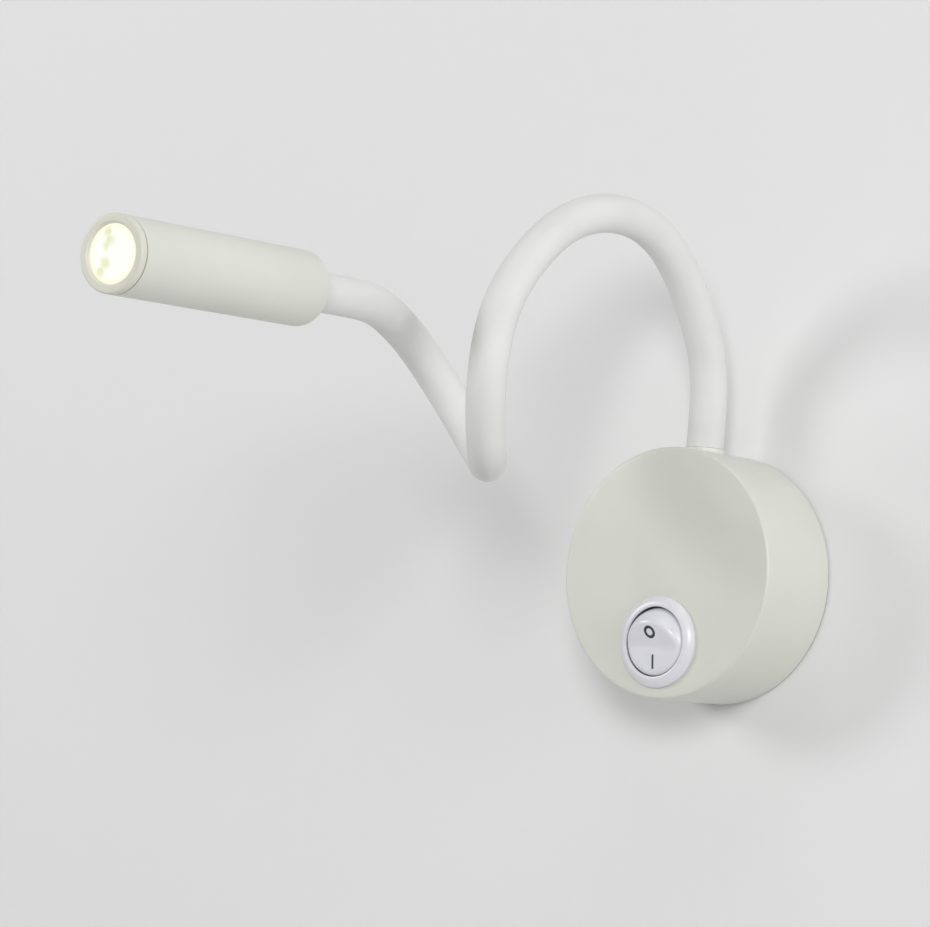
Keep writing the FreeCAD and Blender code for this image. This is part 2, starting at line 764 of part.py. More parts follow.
# ---------------------------------------------------------------- rocker switch
def make_switch_housing():
    face_y = front_y - flange_height
    land_edge = opening_radius + flange_land
    rim_y = front_y - flange_rim
    cavity_end = front_y + cavity_depth

    def ring(radius, at_y):
        return ring_of(radius, Vector(0, at_y, switch_z), Y_AXIS, flange_sides)
    housing = stacked([ring(land_edge, face_y), ring(flange_radius, rim_y), ring(flange_radius, front_y)])
    housing = housing.cut(stacked([ring(opening_radius, face_y), ring(cavity_radius, front_y)]))
    barrel = flat_rod(barrel_radius, (0, front_y, switch_z), (0, 1, 0), barrel_depth, wide_sides)
    cavity = flat_bore(cavity_radius, (0, front_y, switch_z), (0, 1, 0), cavity_depth, wide_sides)
    housing = housing.fuse(barrel.cut(cavity))
    rear_y = front_y + switch_body_depth
    block = box((-block_half_width, cavity_end, switch_z - block_half_height),
                (block_half_width, rear_y, switch_z + block_half_height))
    housing = housing.fuse(block)
    chamber_end = rear_y - chamber_floor
    housing = housing.cut(box((-chamber_half_width, cavity_end, switch_z - chamber_half_height),
                              (chamber_half_width, chamber_end, switch_z + chamber_half_height)))
    for side in (1, -1):
        housing = housing.cut(rod(axle_radius + pivot_gap, (0, pivot_y, switch_z), (side, 0, 0),
                                  cutout_radius))
        catch_y = front_inner_y + slip_gap
        root_z = switch_z + side * (barrel_radius - barrel_wall / 2)
        tip_z = switch_z + side * (barrel_radius + snap_height)
        catch = face_of([(-snap_half_width, catch_y, root_z), (-snap_half_width, catch_y, tip_z),
                         (-snap_half_width, catch_y + snap_length, root_z)])
        catch = catch.extrude(Vector(2 * snap_half_width, 0, 0))
        housing = housing.fuse(catch)
    for blade_z in (switch_z, switch_z + lever_contact_at):
        slit_x = blade_half_width + slip_gap
        slit_z = blade_sheet / 2 + slip_gap
        housing = housing.cut(box((-slit_x, chamber_end, blade_z - slit_z), (slit_x, rear_y, blade_z + slit_z)))
    save("switch_housing", housing.removeSplitter())


def rocker_outline(half_width):
    """The rocker's side view at mid throw in (up, out from the pivot), as a face at x = -half_width."""
    lean = math.radians(rocker_half_throw)
    reach = rocker_radius + 1
    valley = rocker_face_distance / math.cos(lean)
    rise = math.tan(lean)
    blend = rocker_valley_radius * math.tan(lean / 2)
    blend_z = blend * math.cos(lean)
    blend_out = valley + blend * math.sin(lean)
    low = valley + rocker_valley_radius * (1 / math.cos(lean) - 1)

    def place(up, out):
        return (-half_width, pivot_y - out, switch_z + up)
    return face_of([
        place(-reach, -rocker_skirt), place(reach, -rocker_skirt), place(reach, valley + reach * rise),
        place(2 * blend_z, valley + 2 * blend_z * rise),
        (place(0, low), place(-2 * blend_z, valley + 2 * blend_z * rise)),
        place(-reach, valley + reach * rise)])


def on_position(shape):
    """Turns a piece built at mid throw to the on position, with the lower half pressed in."""
    return shape.rotated(Vector(0, pivot_y, switch_z), X_AXIS, rocker_half_throw)


def make_rocker():
    half = rocker_radius + 1
    low = math.degrees(math.asin(rocker_skirt / rocker_radius))
    rings = [ring_of(radius, Vector(0, pivot_y - out, switch_z), Y_AXIS, rocker_sides) for radius, out
             in arc_steps((0, 0), rocker_radius, -low, rocker_top_angle, rocker_count)]
    ball = stacked(rings)
    body = rocker_outline(half).extrude(Vector(2 * half, 0, 0)).common(ball)
    hollow_reach = rocker_radius - 2 * rocker_wall
    hollow = flat_rod(hollow_reach, (0, pivot_y + rocker_skirt, switch_z), (0, -1, 0),
                      rocker_face_distance - rocker_wall + rocker_skirt, wide_sides)
    stem = flat_rod(stem_radius, (0, pivot_y + stem_reach, switch_z), (0, -1, 0),
                    stem_reach + rocker_face_distance - rocker_wall / 2)
    body = body.cut(hollow).fuse(stem)
    bore_radius = plunger_radius + loose_gap
    body = body.cut(flat_bore(bore_radius, (0, pivot_y + stem_reach, switch_z), (0, -1, 0),
                              stem_reach + spring_seat))
    for side in (1, -1):
        body = body.fuse(rod(axle_radius, (side * (hollow_reach - rocker_wall / 2), pivot_y, switch_z),
                             (side, 0, 0), axle_reach - hollow_reach + rocker_wall / 2))
    save("rocker", on_position(body.removeSplitter()))


def make_spring_and_plunger():
    inner_end = plunger_reach - plunger_length
    nose = plunger_radius / 2
    shank = flat_rod(plunger_radius, (0, pivot_y + inner_end, switch_z), (0, 1, 0), plunger_length - nose)
    tip = flat_cone(plunger_radius, nose, (0, pivot_y + plunger_reach - nose, switch_z), (0, 1, 0), nose)
    save("plunger", on_position(shank.fuse(tip)))
    spring = flat_rod(plunger_radius - loose_gap, (0, pivot_y + inner_end, switch_z), (0, -1, 0),
                      inner_end + spring_seat)
    spring = spring.cut(flat_rod(plunger_radius / 2, (0, pivot_y + inner_end, switch_z), (0, -1, 0),
                                 inner_end + spring_seat))
    save("plunger_spring", on_position(spring))


lever_y = pivot_y + plunger_reach + loose_gap + lever_sheet / 2


def make_contact_lever():
    half = lever_sheet / 2
    strip = box((-lever_half_width, lever_y - half, switch_z - lever_half_length),
                (lever_half_width, lever_y + half, switch_z + lever_half_length))
    strip = strip.fuse(flat_rod(contact_radius, (0, lever_y, switch_z + lever_contact_at), (0, 1, 0),
                                half + contact_height))
    save("contact_lever", strip.rotated(Vector(0, lever_y, switch_z), X_AXIS, -lever_tilt))


def make_switch_terminals():
    floor_y = front_y + switch_body_depth - chamber_floor
    tail_y = front_y + switch_body_depth + blade_reach
    blades = []
    contact_z = switch_z + lever_contact_at
    dip = lever_contact_at * math.sin(math.radians(lever_tilt))
    contact_y = lever_y + dip + lever_sheet / 2 + contact_height + loose_gap
    saddle_y = lever_y + lever_sheet / 2 + loose_gap
    for blade_z, top_y, top_half in ((contact_z, contact_y, contact_radius),
                                     (switch_z, saddle_y, blade_sheet / 2)):
        blade = box((-blade_half_width, floor_y - blade_sheet, blade_z - blade_sheet / 2),
                    (blade_half_width, tail_y, blade_z + blade_sheet / 2))
        blade = blade.fuse(box((-blade_half_width, floor_y - blade_sheet, blade_z - 2 * blade_sheet),
                               (blade_half_width, floor_y, blade_z + 2 * blade_sheet)))
        if top_half == contact_radius:
            head = flat_rod(contact_radius, (0, top_y, blade_z), (0, 1, 0), floor_y - top_y)
        else:
            head = box((-saddle_half_width, top_y, blade_z - top_half),
                       (saddle_half_width, floor_y, blade_z + top_half))
        blades.append(blade.fuse(head).removeSplitter())
    save("switch_terminals", *blades)


# ---------------------------------------------------------------- arm
def fitting(name, seat_frame):
    """Threaded end fitting: thread below its flange, spigot above it, a lead bore right through."""
    spigot_top = fitting_flange_height + fitting_spigot_length
    piece = flat_rod(fitting_thread_radius, (0, 0, -fitting_thread_length), (0, 0, 1), fitting_thread_length)
    piece = piece.fuse(flat_rod(fitting_flange_radius, (0, 0, 0), (0, 0, 1), fitting_flange_height, wide_sides))
    piece = piece.fuse(flat_rod(core_bore_radius - slip_gap, (0, 0, 0), (0, 0, 1), spigot_top, core_sides))
    piece = piece.cut(flat_bore(fitting_bore_radius, (0, 0, -fitting_thread_length), (0, 0, 1),
                                fitting_thread_length + spigot_top, core_sides))
    save(name, piece.transformed(seat_frame))


def lock_nut(name, top_z, seat_frame):
    nut = hexagon(nut_flats, top_z - nut_height, nut_height)
    nut = nut.cut(flat_bore(fitting_thread_radius + thread_gap, (0, 0, top_z - nut_height), (0, 0, 1),
                            nut_height))
    save(name, nut.transformed(seat_frame))


def frame_at(point, direction):
    turn = FreeCAD.Rotation(Z_AXIS, direction)
    return FreeCAD.Placement(point, turn).toMatrix()


def make_arm():
    points = moved_route(arm_route, arm_seat)
    pieces, radii = route_pieces(points, arc_share)
    whole = route_length(pieces)
    print("arm route", round(whole, 1), "mm, arcs", [round(radius, 1) for radius in radii])
    seat_frame = frame_at(arm_seat, Z_AXIS)
    fitting("arm_base_fitting", seat_frame)
    washer_top = shell_bore_radius - washer_drop - seat_z
    washer = flat_rod(washer_radius, (0, 0, washer_top - washer_sheet), (0, 0, 1), washer_sheet, wide_sides)
    washer = washer.cut(flat_bore(fitting_thread_radius + slip_gap, (0, 0, washer_top - washer_sheet),
                                  (0, 0, 1), washer_sheet))
    save("arm_base_washer", washer.transformed(seat_frame))
    lock_nut("arm_base_nut", washer_top - washer_sheet, seat_frame)

    lifted = [tuple(Vector(*points[0]) + Vector(0, 0, hose_start_z))] + points[1:]
    hose_pieces = route_pieces(lifted, arc_share)[0]
    hose_length = route_length(hose_pieces)
    save("hose", faceted_tube(hose_pieces, hose_radius, hose_radius - hose_wall, hose_sides, 0,
                              hose_length, arm_facet))

    stops = [-hose_start_z] + [station - hose_start_z for station in bend_stations] + [hose_length]
    for number in range(len(stops) - 1):
        first = slip_gap if number == 0 else stops[number] + core_bend_gap
        last = stops[number + 1] - (slip_gap if number == len(stops) - 2 else core_bend_gap)
        save("gooseneck_core_" + str(number + 1),
             faceted_tube(hose_pieces, core_radius, core_bore_radius, core_sides, first, last, arm_facet))
    return pieces, hose_pieces


def make_lamp_lead(hose_pieces, head_direction, neck):
    """Two-core lead from the driver, up through the whole arm, to just inside the lamp head."""
    hole_x, hole_y = output_hole
    bottom_z = seat_z - fitting_thread_length
    case_top = driver_base_z + driver_height
    rise = (bottom_z - case_top) / 3
    tail = route_pieces([
        (hole_x, hole_y, case_top - driver_wall), (hole_x, hole_y, case_top + rise),
        (0, -arm_from_wall, bottom_z - rise / 2), (0, -arm_from_wall, seat_z + hose_start_z)], arc_share)
    end = ("line", neck, neck + head_direction * lead_end_in_head)
    pieces = tail[0] + hose_pieces + [end]
    whole = route_length(pieces)
    print("lamp lead", round(whole, 1), "mm, first arcs", [round(radius, 1) for radius in tail[1]])
    save("lamp_lead", faceted_bar(pieces, lead_radius, lead_sides, 0, whole, lead_facet))


# ---------------------------------------------------------------- lamp head, built along +Z
def head_tube():
    tube_end = head_length - bezel_length - seam_gap
    edge_centre = (head_radius - head_edge_radius, head_edge_radius)
    edge = arc_steps(edge_centre, head_edge_radius, -90, 0, edge_count)
    sink = fitting_flange_radius + slip_gap
    sink_depth = fitting_flange_height + 2 * slip_gap
    hole = fitting_thread_radius + slip_gap
    return turned_about_z([(sink, 0)] + edge + [
        (head_radius, tube_end), (head_bore_radius, tube_end), (head_bore_radius, head_rear_wall),
        (hole, head_rear_wall), (hole, sink_depth), (sink, sink_depth)])


def bezel():
    back = head_length - bezel_length
    edge_centre = (head_radius - bezel_edge_radius, head_length - bezel_edge_radius)
    edge = arc_steps(edge_centre, bezel_edge_radius, 0, 90, edge_count)
    spigot = head_bore_radius - slip_gap
    bore = spigot - bezel_spigot_wall
    lip = head_length - bezel_lip
    return turned_about_z([(head_radius, back)] + edge + [
        (bezel_aperture_radius, head_length), (bezel_aperture_radius, lip), (bore, lip),
        (bore, back - bezel_spigot_length), (spigot, back - bezel_spigot_length), (spigot, back)])


def lens():
    """Clear collimator: a rim disc carried by the bezel, with a cone behind it that covers the LED."""
    rim_back = lens_front - lens_rim_height
    disc = flat_rod(lens_radius, (0, 0, rim_back), (0, 0, 1), lens_rim_height, wide_sides)
    horn = flat_cone(lens_rear_radius, bezel_aperture_radius - loose_gap, (0, 0, lens_back), (0, 0, 1),
                     lens_cone_length)
    well = flat_bore(lens_well_radius, (0, 0, lens_back), (0, 0, 1), lens_well_depth)
    return disc.fuse(horn).cut(well)


def lens_holder():
    height = lens_front - lens_rim_height - slip_gap - board_top
    ring = flat_rod(lens_radius, (0, 0, board_top), (0, 0, 1), height, wide_sides)
    return ring.cut(flat_rod(lens_radius - holder_wall, (0, 0, board_top), (0, 0, 1), height, wide_sides))


def led_board():
    board = flat_rod(lens_radius, (0, 0, sink_top), (0, 0, 1), led_board_sheet, wide_sides)
    for side in (1, -1):
        board = board.cut(flat_bore(m2_radius + slip_gap, (side * board_screw_ring, 0, sink_top),
                                    (0, 0, 1), led_board_sheet))
        board = board.cut(flat_bore(led_lead_radius + slip_gap, (0, side * led_lead_ring, sink_top),
                                    (0, 0, 1), led_board_sheet))
    return board


def led():
    half = led_square / 2
    base = box((-half, -half, board_top), (half, half, board_top + led_square_height))
    dome = flat_cone(led_dome_radius, led_dome_radius / 2, (0, 0, board_top + led_square_height), (0, 0, 1),
                     led_dome_radius)
    return base.fuse(dome)


def heat_sink():
    """Turned aluminium slug, ribbed by grooves, that fills the head behind the LED board."""
    low = sink_top - heat_sink_length
    radius = head_bore_radius - slip_gap
    sink = flat_rod(radius, (0, 0, low), (0, 0, 1), heat_sink_length, wide_sides)
    pitch = heat_sink_length / (heat_sink_grooves + 1)
    for number in range(heat_sink_grooves):
        groove_low = low + pitch * (number + 1) - heat_sink_groove
        ring = flat_rod(radius + slip_gap, (0, 0, groove_low), (0, 0, 1), heat_sink_groove, wide_sides)
        ring = ring.cut(flat_rod(radius - heat_sink_groove, (0, 0, groove_low), (0, 0, 1),
                                 heat_sink_groove, wide_sides))
        sink = sink.cut(ring)
    for side in (1, -1):
        sink = sink.cut(flat_bore(m2_radius + thread_gap,
                                  (side * board_screw_ring, 0, sink_top - m2_length), (0, 0, 1), m2_length))
        sink = sink.cut(flat_bore(led_lead_radius + slip_gap, (0, side * led_lead_ring, low), (0, 0, 1),
                                  heat_sink_length))
    return sink


def board_screws():
    screws = []
    for side in (1, -1):
        shank_length = m2_length - slip_gap
        shank = flat_rod(m2_radius, (side * board_screw_ring, 0, board_top - shank_length), (0, 0, 1),
                         shank_length)
        head = flat_rod(m2_head_radius, (side * board_screw_ring, 0, board_top), (0, 0, 1), m2_head_height)
        top = board_top + m2_head_height
        screws.append(slotted(head.fuse(shank), (side * board_screw_ring, 0, top), screw_slot_width / 2,
                              screw_slot_depth / 2, m2_head_radius, "z"))
    return screws


def led_leads():
    leads = []
    sink_low = sink_top - heat_sink_length
    spread = sink_low - lead_end_in_head
    for side in (1, -1):
        start_y = side * (led_lead_radius + slip_gap)
        points = [(0, start_y, lead_end_in_head + slip_gap),
                  (0, start_y, lead_end_in_head + spread / 4),
                  (0, side * led_lead_ring, sink_low - spread / 4),
                  (0, side * led_lead_ring, board_top + led_lead_radius)]
        pieces = route_pieces(points, arc_share)[0]
        leads.append(faceted_bar(pieces, led_lead_radius, lead_sides, 0, route_length(pieces), lead_facet))
    return leads


def make_head(neck, direction):
    frame = frame_at(neck, direction)
    flange_front = fitting_flange_height + slip_gap
    flipped = frame_at(neck + direction * flange_front, direction * -1)
    fitting("head_fitting", flipped)
    lock_nut("head_nut", flange_front - head_rear_wall, flipped)
    for name, shape in (("head_tube", head_tube()), ("bezel_ring", bezel()), ("lens", lens()),
                        ("lens_holder", lens_holder()), ("led_board", led_board()), ("led", led()),
                        ("heat_sink", heat_sink())):
        save(name, shape.transformed(frame))
    save("board_screws", *[screw.transformed(frame) for screw in board_screws()])
    save("led_leads", *[lead.transformed(frame) for lead in led_leads()])


# ---------------------------------------------------------------- wiring inside the base
def wire(name, points):
    pieces, radii = route_pieces(points, arc_share)
    whole = route_length(pieces)
    print(name, round(whole, 1), "mm, arcs", [round(radius, 1) for radius in radii])
    save(name, faceted_bar(pieces, wire_radius, wire_sides, 0, whole, wire_facet))


def make_wires():
    pole_y = -bracket_sheet - pole_centre_depth
    pole_low = block_centre_z - block_height / 2
    inside = loose_gap + clamp_screw_spacing / 4
    tail_y = front_y + switch_body_depth + blade_reach
    left = -pole_spacing / 2
    right = pole_spacing / 2
    contact_z = switch_z + lever_contact_at
    side_x = block_half_width + 4 * wire_radius
    blade_y = tail_y - blade_reach / 4
    wire("live_wire", [
        (left, pole_y, pole_low + inside), (left, pole_y, pole_low - 2 * wire_radius),
        (-side_x, pole_y - wire_radius, 0), (-side_x, blade_y, contact_z / 2),
        (-side_x, blade_y, contact_z), (-blade_half_width - slip_gap, blade_y, contact_z)])
    hole_x, hole_z = input_hole
    wire("switched_wire", [
        (-blade_half_width - slip_gap, blade_y, switch_z), (-side_x - 4 * wire_radius, blade_y, switch_z),
        (hole_x, blade_y, switch_z / 2), (hole_x, driver_rear_y + 4 * wire_radius, hole_z),
        (hole_x, driver_rear_y - driver_wall, hole_z)])
    hole_x, hole_z = neutral_hole
    wire("neutral_wire", [
        (right, pole_y, pole_low + inside), (right, pole_y, pole_low - 2 * wire_radius),
        (hole_x - 4 * wire_radius, pole_y, hole_z), (hole_x, driver_rear_y + 3 * wire_radius, hole_z),
        (hole_x, driver_rear_y - driver_wall, hole_z)])


def main():
    os.makedirs("parts", exist_ok=True)
    make_base_shell()
    make_bracket()
    make_shell_screws()
    make_cable_bush()
    make_terminal_block()
    make_terminal_clamps()
    make_block_screw()
    make_earth_screw()
    make_driver()
    make_driver_board()
    make_switch_housing()
    make_rocker()
    make_spring_and_plunger()
    make_contact_lever()
    make_switch_terminals()
    pieces, hose_pieces = make_arm()
    neck, direction = point_at(pieces, route_length(pieces))
    make_lamp_lead(hose_pieces, direction, neck)
    make_head(neck, direction)
    make_wires()


main()
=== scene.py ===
import math

import bmesh
import bpy
from mathutils import Matrix, Vector


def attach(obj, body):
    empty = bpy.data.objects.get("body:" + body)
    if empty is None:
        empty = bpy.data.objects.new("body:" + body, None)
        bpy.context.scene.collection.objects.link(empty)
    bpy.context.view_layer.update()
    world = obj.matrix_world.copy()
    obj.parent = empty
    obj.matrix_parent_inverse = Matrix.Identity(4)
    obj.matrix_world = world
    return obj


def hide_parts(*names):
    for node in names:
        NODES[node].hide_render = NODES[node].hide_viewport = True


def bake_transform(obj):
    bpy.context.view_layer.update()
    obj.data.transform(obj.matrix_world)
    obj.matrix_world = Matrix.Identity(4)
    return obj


bl_info = {
    "name": "Bedside Reading Lamp",
    "version": (1, 0, 0),
    "blender": (4, 5, 0),
    "location": "View3D > Sidebar > Reading Lamp",
    "description": "Dresses the packed model of a wall reading lamp with a bendable arm",
    "category": "Add Mesh",
}

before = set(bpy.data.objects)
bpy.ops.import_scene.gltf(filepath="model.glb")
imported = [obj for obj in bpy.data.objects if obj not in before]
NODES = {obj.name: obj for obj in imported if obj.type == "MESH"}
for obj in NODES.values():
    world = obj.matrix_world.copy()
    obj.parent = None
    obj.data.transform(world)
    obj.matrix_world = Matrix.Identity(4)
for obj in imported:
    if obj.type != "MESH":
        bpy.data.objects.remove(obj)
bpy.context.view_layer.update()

# The origin is the centre of the drum's rear face on the wall, +Z is up and -Y points out of the wall.
# Lengths are written in millimetres, and mm() turns them to the metres of the frame.
MM = 0.001
PER_METRE = 1000.0


def mm(length):
    return length * MM


# ---- the drum on the wall ----
DRUM_RADIUS = 40.0
DRUM_DEPTH = 33.0
DRUM_WALL = 2.0
DRUM_EDGE = 0.8
DRUM_RINGS = (1.2, 12.0, 22.0)
DRUM_CORNER = 1.0
EDGE_BAND = 1.8
FRONT_RING = 30.0
REAR_EDGE = 0.3
REAR_BANDS = 3
HOLE_MARGIN = 1.0
HOLE_REACH = 6.0
CUTOUT_REACH = 4.0
CUTOUT_SIDES = 96
SPOT_SIDES = 64
SEAT_SIDES = 48
SCREW_SIDES = 40
SHELL_SCREW_DEPTH = 5.0
SCREW_HOLE = 1.8
SCREW_SINK = 2.9
SINK_DEPTH = 1.3
SINK_MARGIN = 0.05
SPOT_RADIUS = 6.4
SEAT_HOLE = 5.1

# ---- the rocker switch ----
SWITCH_Z = -22.06
CUTOUT_RADIUS = 13.0
FLANGE_RADIUS = 14.5
FLANGE_HEIGHT = 2.4
FLANGE_LAND_RADIUS = 11.88
FLANGE_LAND = 0.25
FLANGE_RIM = 0.9
FLANGE_FOOT = 0.1
FLANGE_ROUND = 0.2
FLANGE_BANDS = 8
FLANGE_FULLNESS = 0.9
OPENING_RADIUS = 11.1
OPENING_EDGE = ((0.3, 0.0), (0.09, 0.06), (0.0, 0.25), (0.0, 0.7))
CAVITY_RADIUS = 12.25
CAVITY_TOP = 0.95
CAVITY_FLOOR = 1.5
BARREL_RADIUS = 12.9
BARREL_DEPTH = 9.5
BARREL_CORNER = 0.3
PIVOT_BELOW_FLANGE = 5.4
ROCKER_RADIUS = 11.7
ROCKER_TAPER = 0.035
ROCKER_FACE = 5.82
ROCKER_SKIRT = 1.0
ROCKER_VALLEY = 5.0
ROCKER_THROW = math.radians(14.0)
ROCKER_RIM = 1.2
FLANK_BANDS = 10
RIM_BANDS = 6
FACE_BANDS = 16
HOLLOW_RADIUS = 8.4
HOLLOW_TOP = 4.0
STEM_RADIUS = 2.8
STEM_BORE = 1.9
STEM_END = 6.0
STEM_FLOOR = 3.0
AXLE_RADIUS = 1.5
AXLE_END = 12.65
AXLE_ROOT = 1.5
AXLE_GAP = 0.05
AXLE_SIDES = 32
BLOCK_HALF_X = 6.5
BLOCK_HALF_Z = 10.5
BLOCK_REAR = 15.5
CHAMBER_HALF_X = 3.2
CHAMBER_HALF_Z = 8.2
CHAMBER_WALL = 2.0
BEZEL_SMOOTH = math.radians(24.0)
ROCKER_SMOOTH = math.radians(28.0)
RING_MARK = 1.65
RING_STROKE = 0.95
RING_MARK_UP = 4.72
BAR_MARK = 4.4
BAR_STROKE = 0.75
BAR_MARK_UP = -4.8
BAR_MARK_RIGHT = 0.5
BAR_TURN = math.radians(6.0)
RING_SIDES = 48
BAR_ROWS = 10
HALVINGS = 40

# ---- the arm ----
ARM_SEAT = Vector((0.0, -17.5, 39.5))
SLEEVE_RADIUS = 6.0
SLEEVE_WALL = 1.1
SLEEVE_START = 1.6
CORE_RADIUS = 4.3
CORE_BORE = 2.85
CORE_PITCH = 3.0
CORE_GROOVE = 0.35
CORE_INSET = 0.2
CORE_STEPS = 4
CORE_SIDES = 24
LEAD_SIDES = 20
LEAD_TAIL = 12.5
TAIL_RINGS = 20
LEAD_EXIT = (4.2, -23.2, 12.8)
LEAD_IN_HEAD = 12.0
ROUTE_STEP = 0.5
ROUTE_MARGIN = 30.0
EVEN_PASSES = 2
SPAN_ENDS = [55.0, 119.0, 189.0, 261.0, 328.0]
BEND_SHARE = 0.9
LEAST_REACH = 10.0
LEAD_RADIUS = 1.5
ARC_SHARE = 0.48
ARM_ROUTE = [
    (0.0, 0.0, 0.0), (0.0, 0.0, 30.5), (0.0, -32.5, 70.5), (0.0, -79.0, 67.0), (0.0, -109.5, 34.5),
    (0.0, -111.5, 4.5), (-9.0, -96.5, -12.5), (-37.0, -62.5, -11.5), (-56.0, -59.0, 7.5),
    (-59.0, -78.5, 25.5), (-39.0, -113.5, 29.0), (-33.5, -126.5, 31.1), (-30.2, -162.9, 30.1)]
BEND_STATIONS = [24.0, 86.0, 152.0, 226.0, 296.0, 360.0]
BEND_REACH = 22.0

# ---- the lamp head, along its own axis from the end of the sleeve ----
HEAD_RADIUS = 11.25
HEAD_LENGTH = 85.0
HEAD_BORE = 9.95
HEAD_EDGE = 0.8
HEAD_RINGS = (20.0, 40.0, 60.0)
HEAD_BAND = 1.0
SMALL_BANDS = 6
REAR_WALL = 6.0
BEZEL_LENGTH = 2.2
SEAM_GAP = 0.5
APERTURE_RADIUS = 8.45
APERTURE_CHAMFER = 0.6
APERTURE_LAND = 0.1
BEZEL_EDGE = 0.7
BEZEL_FACE = 1.2
BEZEL_LIP = 1.6
LENS_RADIUS = 9.2
LENS_RIM = 1.2
LENS_HORN = 8.0
LENS_REAR = 3.0
LENS_WELL = 2.0
LENS_WELL_DEPTH = 2.6
LENS_CROWN = 0.3
LENS_BOSS = 0.9
LENS_EDGE = 0.15
LENS_ROUND = 0.1
LENS_BANDS = 8
LENS_SEAT = 0.1
LENS_CLEARANCE = 0.08
HORN_GAP = 0.3
SPIGOT_GAP = 0.3
GLOW_RIM = 2.2
FLANGE_SINK = 6.5
SINK = 1.9
THREAD_HOLE = 5.2
SEAM_EDGE = 0.15
SPIGOT_WALL = 0.55
SPIGOT_LENGTH = 5.8
CHIP_IMAGES = ((-2.54, 5.7, 2.4), (-1.35, 3.6, 2.9), (-2.6, 1.9, 2.3), (-1.92, -2.8, 2.9), (-3.3, -5.4, 2.3))
CHIP_TINT_AT = 0.62

# ---- the photograph's camera ----
CAMERA_PLACE = (0.707129, -0.965247, -0.041296)
CAMERA_BACK = (0.64710, -0.76007, -0.05965)
CAMERA_UP = (-0.03116, -0.10455, 0.99403)
CAMERA_FOCAL_PX = 3700.0
CAMERA_WIDTH_PX = 930.0
CAMERA_SENSOR_MM = 36.0
CAMERA_NEAREST = 0.01

# ---- the room: its planes in millimetres, its soft lights as name, place and width in metres ----
WALL_GAP = 0.6
FLOOR_DROP = 900.0
PLANE_HALF = 3000.0
LIGHTS = (("front_light", (0.85, -1.41, 0.42), 0.5), ("right_light", (1.55, -0.26, 0.31), 0.8),
          ("left_light", (-1.08, -0.97, 0.38), 0.45), ("top_light", (0.1, -0.6, 1.37), 0.8))

# ---- meshes ----
SMOOTH_BELOW = math.radians(32.0)
MERGE_WITHIN = 0.002
SLIVER_BELOW = 0.0005


# ---- places ----
OUT_OF_WALL = Matrix(((1, 0, 0, 0), (0, 0, -1, 0), (0, 1, 0, 0), (0, 0, 0, 1)))


def moved(x, y, z):
    return Matrix.Translation(Vector((mm(x), mm(y), mm(z))))


def route_parts():
    """Straight runs and tangent arcs of the arm's route, each as (length, point and direction at)."""
    corners = [Vector(corner) + ARM_SEAT for corner in ARM_ROUTE]
    here = corners[0]
    parts = []
    for before, corner, after in zip(corners, corners[1:], corners[2:]):
        run_in, run_out = corner - before, after - corner
        setback = ARC_SHARE * min(run_in.length, run_out.length)
        run_in.normalize()
        run_out.normalize()
        turn = run_in.angle(run_out)
        radius = setback / math.tan(turn / 2)
        start = corner - run_in * setback
        axis = run_in.cross(run_out).normalized()
        spoke = axis.cross(run_in) * -radius
        parts.append(((start - here).length, straight_run(here, run_in)))
        parts.append((radius * turn, round_run(start - spoke, spoke, axis, radius)))
        here = corner + run_out * setback
    parts.append(((corners[-1] - here).length, straight_run(here, (corners[-1] - here).normalized())))
    return parts


def straight_run(start, way):
    return lambda along: (start + way * along, way)


def round_run(centre, spoke, axis, radius):
    def at(along):
        spun = Matrix.Rotation(along / radius, 3, axis) @ spoke
        return centre + spun, axis.cross(spun).normalized()
    return at


def route_point(along):
    """Point and direction on the arm's route, in millimetres from the middle of its seat."""
    for length, at in ROUTE_PARTS[:-1]:
        if along <= length:
            return at(along)
        along -= length
    return ROUTE_PARTS[-1][1](along)


ROUTE_PARTS = route_parts()
ROUTE_LENGTH = sum(length for length, at in ROUTE_PARTS)
NECK, HEAD_WAY = route_point(ROUTE_LENGTH)
HEAD_PLACE = (Matrix.Translation(NECK * MM)
              @ Vector((0, 0, 1)).rotation_difference(HEAD_WAY).to_matrix().to_4x4())
SWITCH_PLACE = moved(0, 0, SWITCH_Z) @ OUT_OF_WALL
PIVOT_DEPTH = DRUM_DEPTH + FLANGE_HEIGHT - PIVOT_BELOW_FLANGE
ROCKER_PLACE = moved(0, -PIVOT_DEPTH, SWITCH_Z) @ Matrix.Rotation(ROCKER_THROW, 4, "X") @ OUT_OF_WALL
AXLE_PLACE = ROCKER_PLACE @ Matrix.Rotation(math.pi / 2, 4, "Y")


# ---- shared mesh work ----
def arc(centre, radius, first, last, steps):
    """Outline points on an arc, in degrees from the radial direction."""
    points = []
    for number in range(steps + 1):
        angle = math.radians(first + (last - first) * number / steps)
        points.append((centre[0] + radius * math.cos(angle), centre[1] + radius * math.sin(angle)))
    return points


def turned(bm, outline, closed, steps):
    """Spins an outline of (radius, height) points in millimetres about local Z."""
    corners = [bm.verts.new((mm(radius), 0, mm(height))) for radius, height in outline]
    pairs = list(zip(corners, corners[1:]))
    if closed:
        pairs.append((corners[-1], corners[0]))
    edges = [bm.edges.new(pair) for pair in pairs]
    bmesh.ops.spin(bm, geom=corners + edges, cent=(0, 0, 0), axis=(0, 0, 1), angle=math.tau,
                   steps=steps, use_merge=True)
    bmesh.ops.remove_doubles(bm, verts=bm.verts[:], dist=mm(MERGE_WITHIN))
    bmesh.ops.dissolve_degenerate(bm, edges=bm.edges[:], dist=mm(SLIVER_BELOW))


